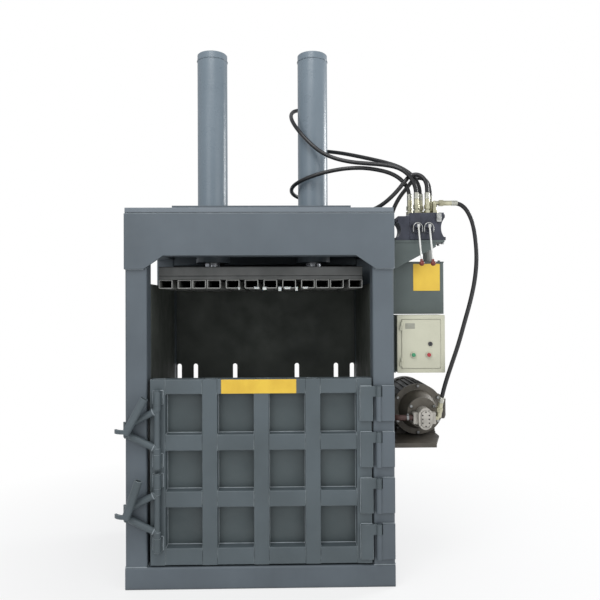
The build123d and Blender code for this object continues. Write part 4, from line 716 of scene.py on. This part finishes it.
# Hydraulic hoses: stiff black rubber over wire braid, 22 mm across, crimped into grooved zinc sleeves. Five
# leave the valve upwards and bend over to the cylinders, the top plate and the tank. The sixth leaves its
# right side and hangs in one long bow down to the pump.
hose_diameter = 0.022
hose_rubber = steel_finish("hose_rubber", photo_colour(27, 27, 29), photo_colour(17, 17, 18),
                           photo_colour(62, 62, 62), roughness=(0.26, 0.4), patch=16, edge=0.0, dirt_and_shade=0.2,
                           grain=500)
ferrule_zinc = steel_finish("ferrule_zinc", photo_colour(196, 196, 186), photo_colour(156, 155, 144),
                            photo_colour(222, 222, 214), roughness=(0.25, 0.4), metallic=0.75, patch=24,
                            edge_width=0.001, grain=400)
hose_routes = {
    "hose_cap_upper": (1.165, [
        (0.813, -0.305, 1.96), (0.813, -0.305, 2), (0.801, -0.306, 2.045), (0.772, -0.302, 2.092),
        (0.722, -0.285, 2.13), (0.65, -0.25, 2.152), (0.57, -0.213, 2.166), (0.485, -0.175, 2.182),
        (0.4, -0.15, 2.207), (0.328, -0.137, 2.242), (0.262, -0.122, 2.3), (0.203, -0.088, 2.375),
        (0.169, -0.033, 2.442), (0.16, 0.026, 2.492), (0.17, 0.078, 2.53), (0.199, 0.116, 2.553),
        (0.24, 0.134, 2.561)]),
    "hose_rod_end": (0.991, [
        (0.787, -0.255, 1.96), (0.787, -0.255, 1.998), (0.771, -0.251, 2.042), (0.738, -0.24, 2.082),
        (0.69, -0.222, 2.114), (0.625, -0.2, 2.136), (0.55, -0.178, 2.151), (0.46, -0.155, 2.153),
        (0.37, -0.138, 2.141), (0.292, -0.128, 2.122), (0.222, -0.1, 2.1), (0.172, -0.042, 2.08),
        (0.158, 0.03, 2.06), (0.186, 0.104, 2.042), (0.238, 0.147, 2.032)]),
    "hose_cap_lower": (0.787, [
        (0.8445, -0.255, 1.96), (0.8445, -0.255, 2), (0.834, -0.252, 2.05), (0.805, -0.24, 2.098),
        (0.757, -0.22, 2.138), (0.7, -0.184, 2.171), (0.61, -0.112, 2.212), (0.495, -0.02, 2.26),
        (0.415, 0.047, 2.29), (0.33, 0.118, 2.315)]),
    "hose_bulkhead": (0.799, [
        (0.8705, -0.305, 1.96), (0.8705, -0.305, 2.004), (0.868, -0.301, 2.046), (0.849, -0.29, 2.081),
        (0.817, -0.279, 2.096), (0.783, -0.272, 2.086), (0.758, -0.274, 2.056), (0.712, -0.266, 1.998),
        (0.65, -0.238, 1.942), (0.59, -0.19, 1.915), (0.548, -0.125, 1.907), (0.536, -0.041, 1.906),
        (0.541, 0.045, 1.907), (0.54, 0.118, 1.918)]),
    "hose_return": (0.656, [
        (0.901, -0.24, 1.955), (0.901, -0.24, 1.998), (0.897, -0.237, 2.04), (0.879, -0.229, 2.076),
        (0.847, -0.22, 2.09), (0.813, -0.211, 2.076), (0.786, -0.204, 2.04), (0.742, -0.193, 1.985),
        (0.71, -0.183, 1.92), (0.696, -0.168, 1.845), (0.696, -0.145, 1.775), (0.707, -0.122, 1.715),
        (0.72, -0.105, 1.665)]),
    "hose_pressure": (1.14, [
        (1, -0.29, 1.94), (1.033, -0.29, 1.94), (1.066, -0.294, 1.921), (1.09, -0.301, 1.884),
        (1.109, -0.311, 1.828), (1.12, -0.322, 1.735), (1.121, -0.332, 1.635), (1.107, -0.343, 1.53),
        (1.081, -0.353, 1.425), (1.046, -0.363, 1.315), (1.013, -0.371, 1.207), (0.978, -0.372, 1.107),
        (0.951, -0.363, 1.022), (0.936, -0.343, 0.95), (0.932, -0.32, 0.9)]),
}
sleeve_profile = [(0, 0.0125), (0.0012, 0.0136), (0.006, 0.0136)]
for groove, crest in ((0.007, 0.0136), (0.016, 0.0136), (0.025, 0.0134)):
    sleeve_profile += [(groove - 0.0002, 0.0136), (groove + 0.0002, 0.0126), (groove + 0.0028, 0.0126),
                       (groove + 0.0032, crest)]
sleeve_profile += [(0.0318, 0.0134), (0.0330, 0.0119)]
for name, (length, route) in hose_routes.items():
    curve = bpy.data.curves.new(f"{name}_line", "CURVE")
    curve.dimensions = "3D"
    curve.bevel_depth = hose_diameter / 2
    curve.bevel_resolution = 5
    curve.resolution_u = 16
    curve.use_fill_caps = True
    spline = curve.splines.new("NURBS")
    spline.points.add(len(route) - 1)
    for point, place in zip(spline.points, route):
        point.co = (*place, 1)
    spline.order_u = 3
    spline.use_endpoint_u = True
    hose = bpy.data.objects.new(f"{name}_rubber", curve)
    bpy.context.scene.collection.objects.link(hose)
    hose.data.materials.append(hose_rubber)
    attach(hose, "frame")
    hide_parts(name)

    sleeve_mesh = bmesh.new()
    for here, beyond in ((route[0], route[1]), (route[-1], route[-2])):
        here = Vector(here)
        turn_piece(sleeve_mesh, here, (Vector(beyond) - here).normalized(), sleeve_profile, sides=32)
    show_mesh(f"{name}_sleeves", "frame", sleeve_mesh, ferrule_zinc, smooth=40)

# Camera: at the photograph's eye height, a little right of the middle, with its slight turn, tilt and roll.
# Place, angles and lens were fitted to the frame's edges in the photograph.
camera_place = (0.13585, -3.6112, 1.40306)
camera_yaw = math.radians(1.15)
camera_pitch = math.radians(0.53)
camera_roll = math.radians(-0.26)
ahead = Vector((math.sin(camera_yaw) * math.cos(camera_pitch),
                math.cos(camera_yaw) * math.cos(camera_pitch), math.sin(camera_pitch)))
level_right = ahead.cross(Vector((0, 0, 1))).normalized()
level_up = level_right.cross(ahead)
camera_right = level_right * math.cos(camera_roll) + level_up * math.sin(camera_roll)
camera_up = level_up * math.cos(camera_roll) - level_right * math.sin(camera_roll)
camera_data = bpy.data.cameras.new("camera")
camera_data.lens = 38.12
camera_data.sensor_width = 36
camera = bpy.data.objects.new("camera", camera_data)
camera.matrix_world = Matrix.Translation(camera_place) @ Matrix(
    (camera_right, camera_up, -ahead)).transposed().to_4x4()
bpy.context.scene.collection.objects.link(camera)
bpy.context.scene.camera = camera
bpy.context.scene.view_settings.view_transform = "Standard"

# Studio: a pale floor takes the machine's shadow and turns plain white further off. A pale blue sky, which
# the camera sees as white, and four soft lamps light it.
floor_mesh = bpy.data.meshes.new("studio_floor")
floor_mesh.from_pydata([(-30, -30, 0), (30, -30, 0), (30, 30, 0), (-30, 30, 0)], [], [(0, 1, 2, 3)])
floor = bpy.data.objects.new("studio_floor", floor_mesh)
bpy.context.scene.collection.objects.link(floor)
floor_paint = bpy.data.materials.new("studio_floor")
floor_paint.use_nodes = True
floor_nodes = floor_paint.node_tree.nodes
floor_links = floor_paint.node_tree.links
floor_shader = floor_nodes["Principled BSDF"]
floor_shader.inputs["Base Color"].default_value = (0.75, 0.75, 0.75, 1)
floor_shader.inputs["Roughness"].default_value = 0.8
white_light = floor_nodes.new("ShaderNodeEmission")
white_light.inputs["Strength"].default_value = 1
floor_spot = floor_nodes.new("ShaderNodeTexCoord")
reach = floor_nodes.new("ShaderNodeVectorMath")
reach.operation = "LENGTH"
floor_links.new(floor_spot.outputs["Object"], reach.inputs[0])
fade = floor_nodes.new("ShaderNodeMapRange")
fade.inputs["From Min"].default_value = 1.0
fade.inputs["From Max"].default_value = 2.6
fade.inputs["To Min"].default_value = 0.72
floor_links.new(reach.outputs["Value"], fade.inputs["Value"])
ray = floor_nodes.new("ShaderNodeLightPath")
seen = floor_nodes.new("ShaderNodeMath")
seen.operation = "MAXIMUM"
floor_links.new(ray.outputs["Is Camera Ray"], seen.inputs[0])
floor_links.new(ray.outputs["Is Glossy Ray"], seen.inputs[1])
share = floor_nodes.new("ShaderNodeMath")
share.operation = "MULTIPLY"
floor_links.new(fade.outputs["Result"], share.inputs[0])
floor_links.new(seen.outputs["Value"], share.inputs[1])
floor_mix = floor_nodes.new("ShaderNodeMixShader")
floor_links.new(share.outputs["Value"], floor_mix.inputs["Fac"])
floor_links.new(floor_shader.outputs["BSDF"], floor_mix.inputs[1])
floor_links.new(white_light.outputs["Emission"], floor_mix.inputs[2])
floor_links.new(floor_mix.outputs["Shader"], floor_nodes["Material Output"].inputs["Surface"])
floor_mesh.materials.append(floor_paint)

sky = bpy.data.worlds.new("sky")
sky.use_nodes = True
bpy.context.scene.world = sky
sky_nodes = sky.node_tree.nodes
sky_links = sky.node_tree.links
sky_light = sky_nodes["Background"]
sky_light.inputs["Color"].default_value = (0.93, 0.96, 1.0, 1)
sky_light.inputs["Strength"].default_value = 0.64
sky_white = sky_nodes.new("ShaderNodeBackground")
sky_white.inputs["Color"].default_value = (1, 1, 1, 1)
sky_ray = sky_nodes.new("ShaderNodeLightPath")
sky_mix = sky_nodes.new("ShaderNodeMixShader")
sky_links.new(sky_ray.outputs["Is Camera Ray"], sky_mix.inputs["Fac"])
sky_links.new(sky_light.outputs["Background"], sky_mix.inputs[1])
sky_links.new(sky_white.outputs["Background"], sky_mix.inputs[2])
sky_links.new(sky_mix.outputs["Shader"], sky_nodes["World Output"].inputs["Surface"])

for name, place, target, size, power in (("key_lamp", (-2.4, -4.4, 2.8), (0, 0, 1.2), 2.6, 30),
                                         ("fill_lamp", (3.4, -3.6, 2.0), (0.3, 0, 0.9), 3.0, 41),
                                         ("edge_lamp", (4.2, 1.6, 2.9), (0.2, 0, 2.2), 1.6, 110),
                                         ("top_lamp", (-0.3, -2.3, 4.4), (0, -0.4, 0.6), 1.8, 62)):
    lamp = bpy.data.lights.new(name, "AREA")
    lamp.size = size
    lamp.energy = power
    holder = bpy.data.objects.new(name, lamp)
    aim = Vector(target) - Vector(place)
    holder.location = place
    holder.rotation_euler = aim.to_track_quat("-Z", "Y").to_euler()
    bpy.context.scene.collection.objects.link(holder)
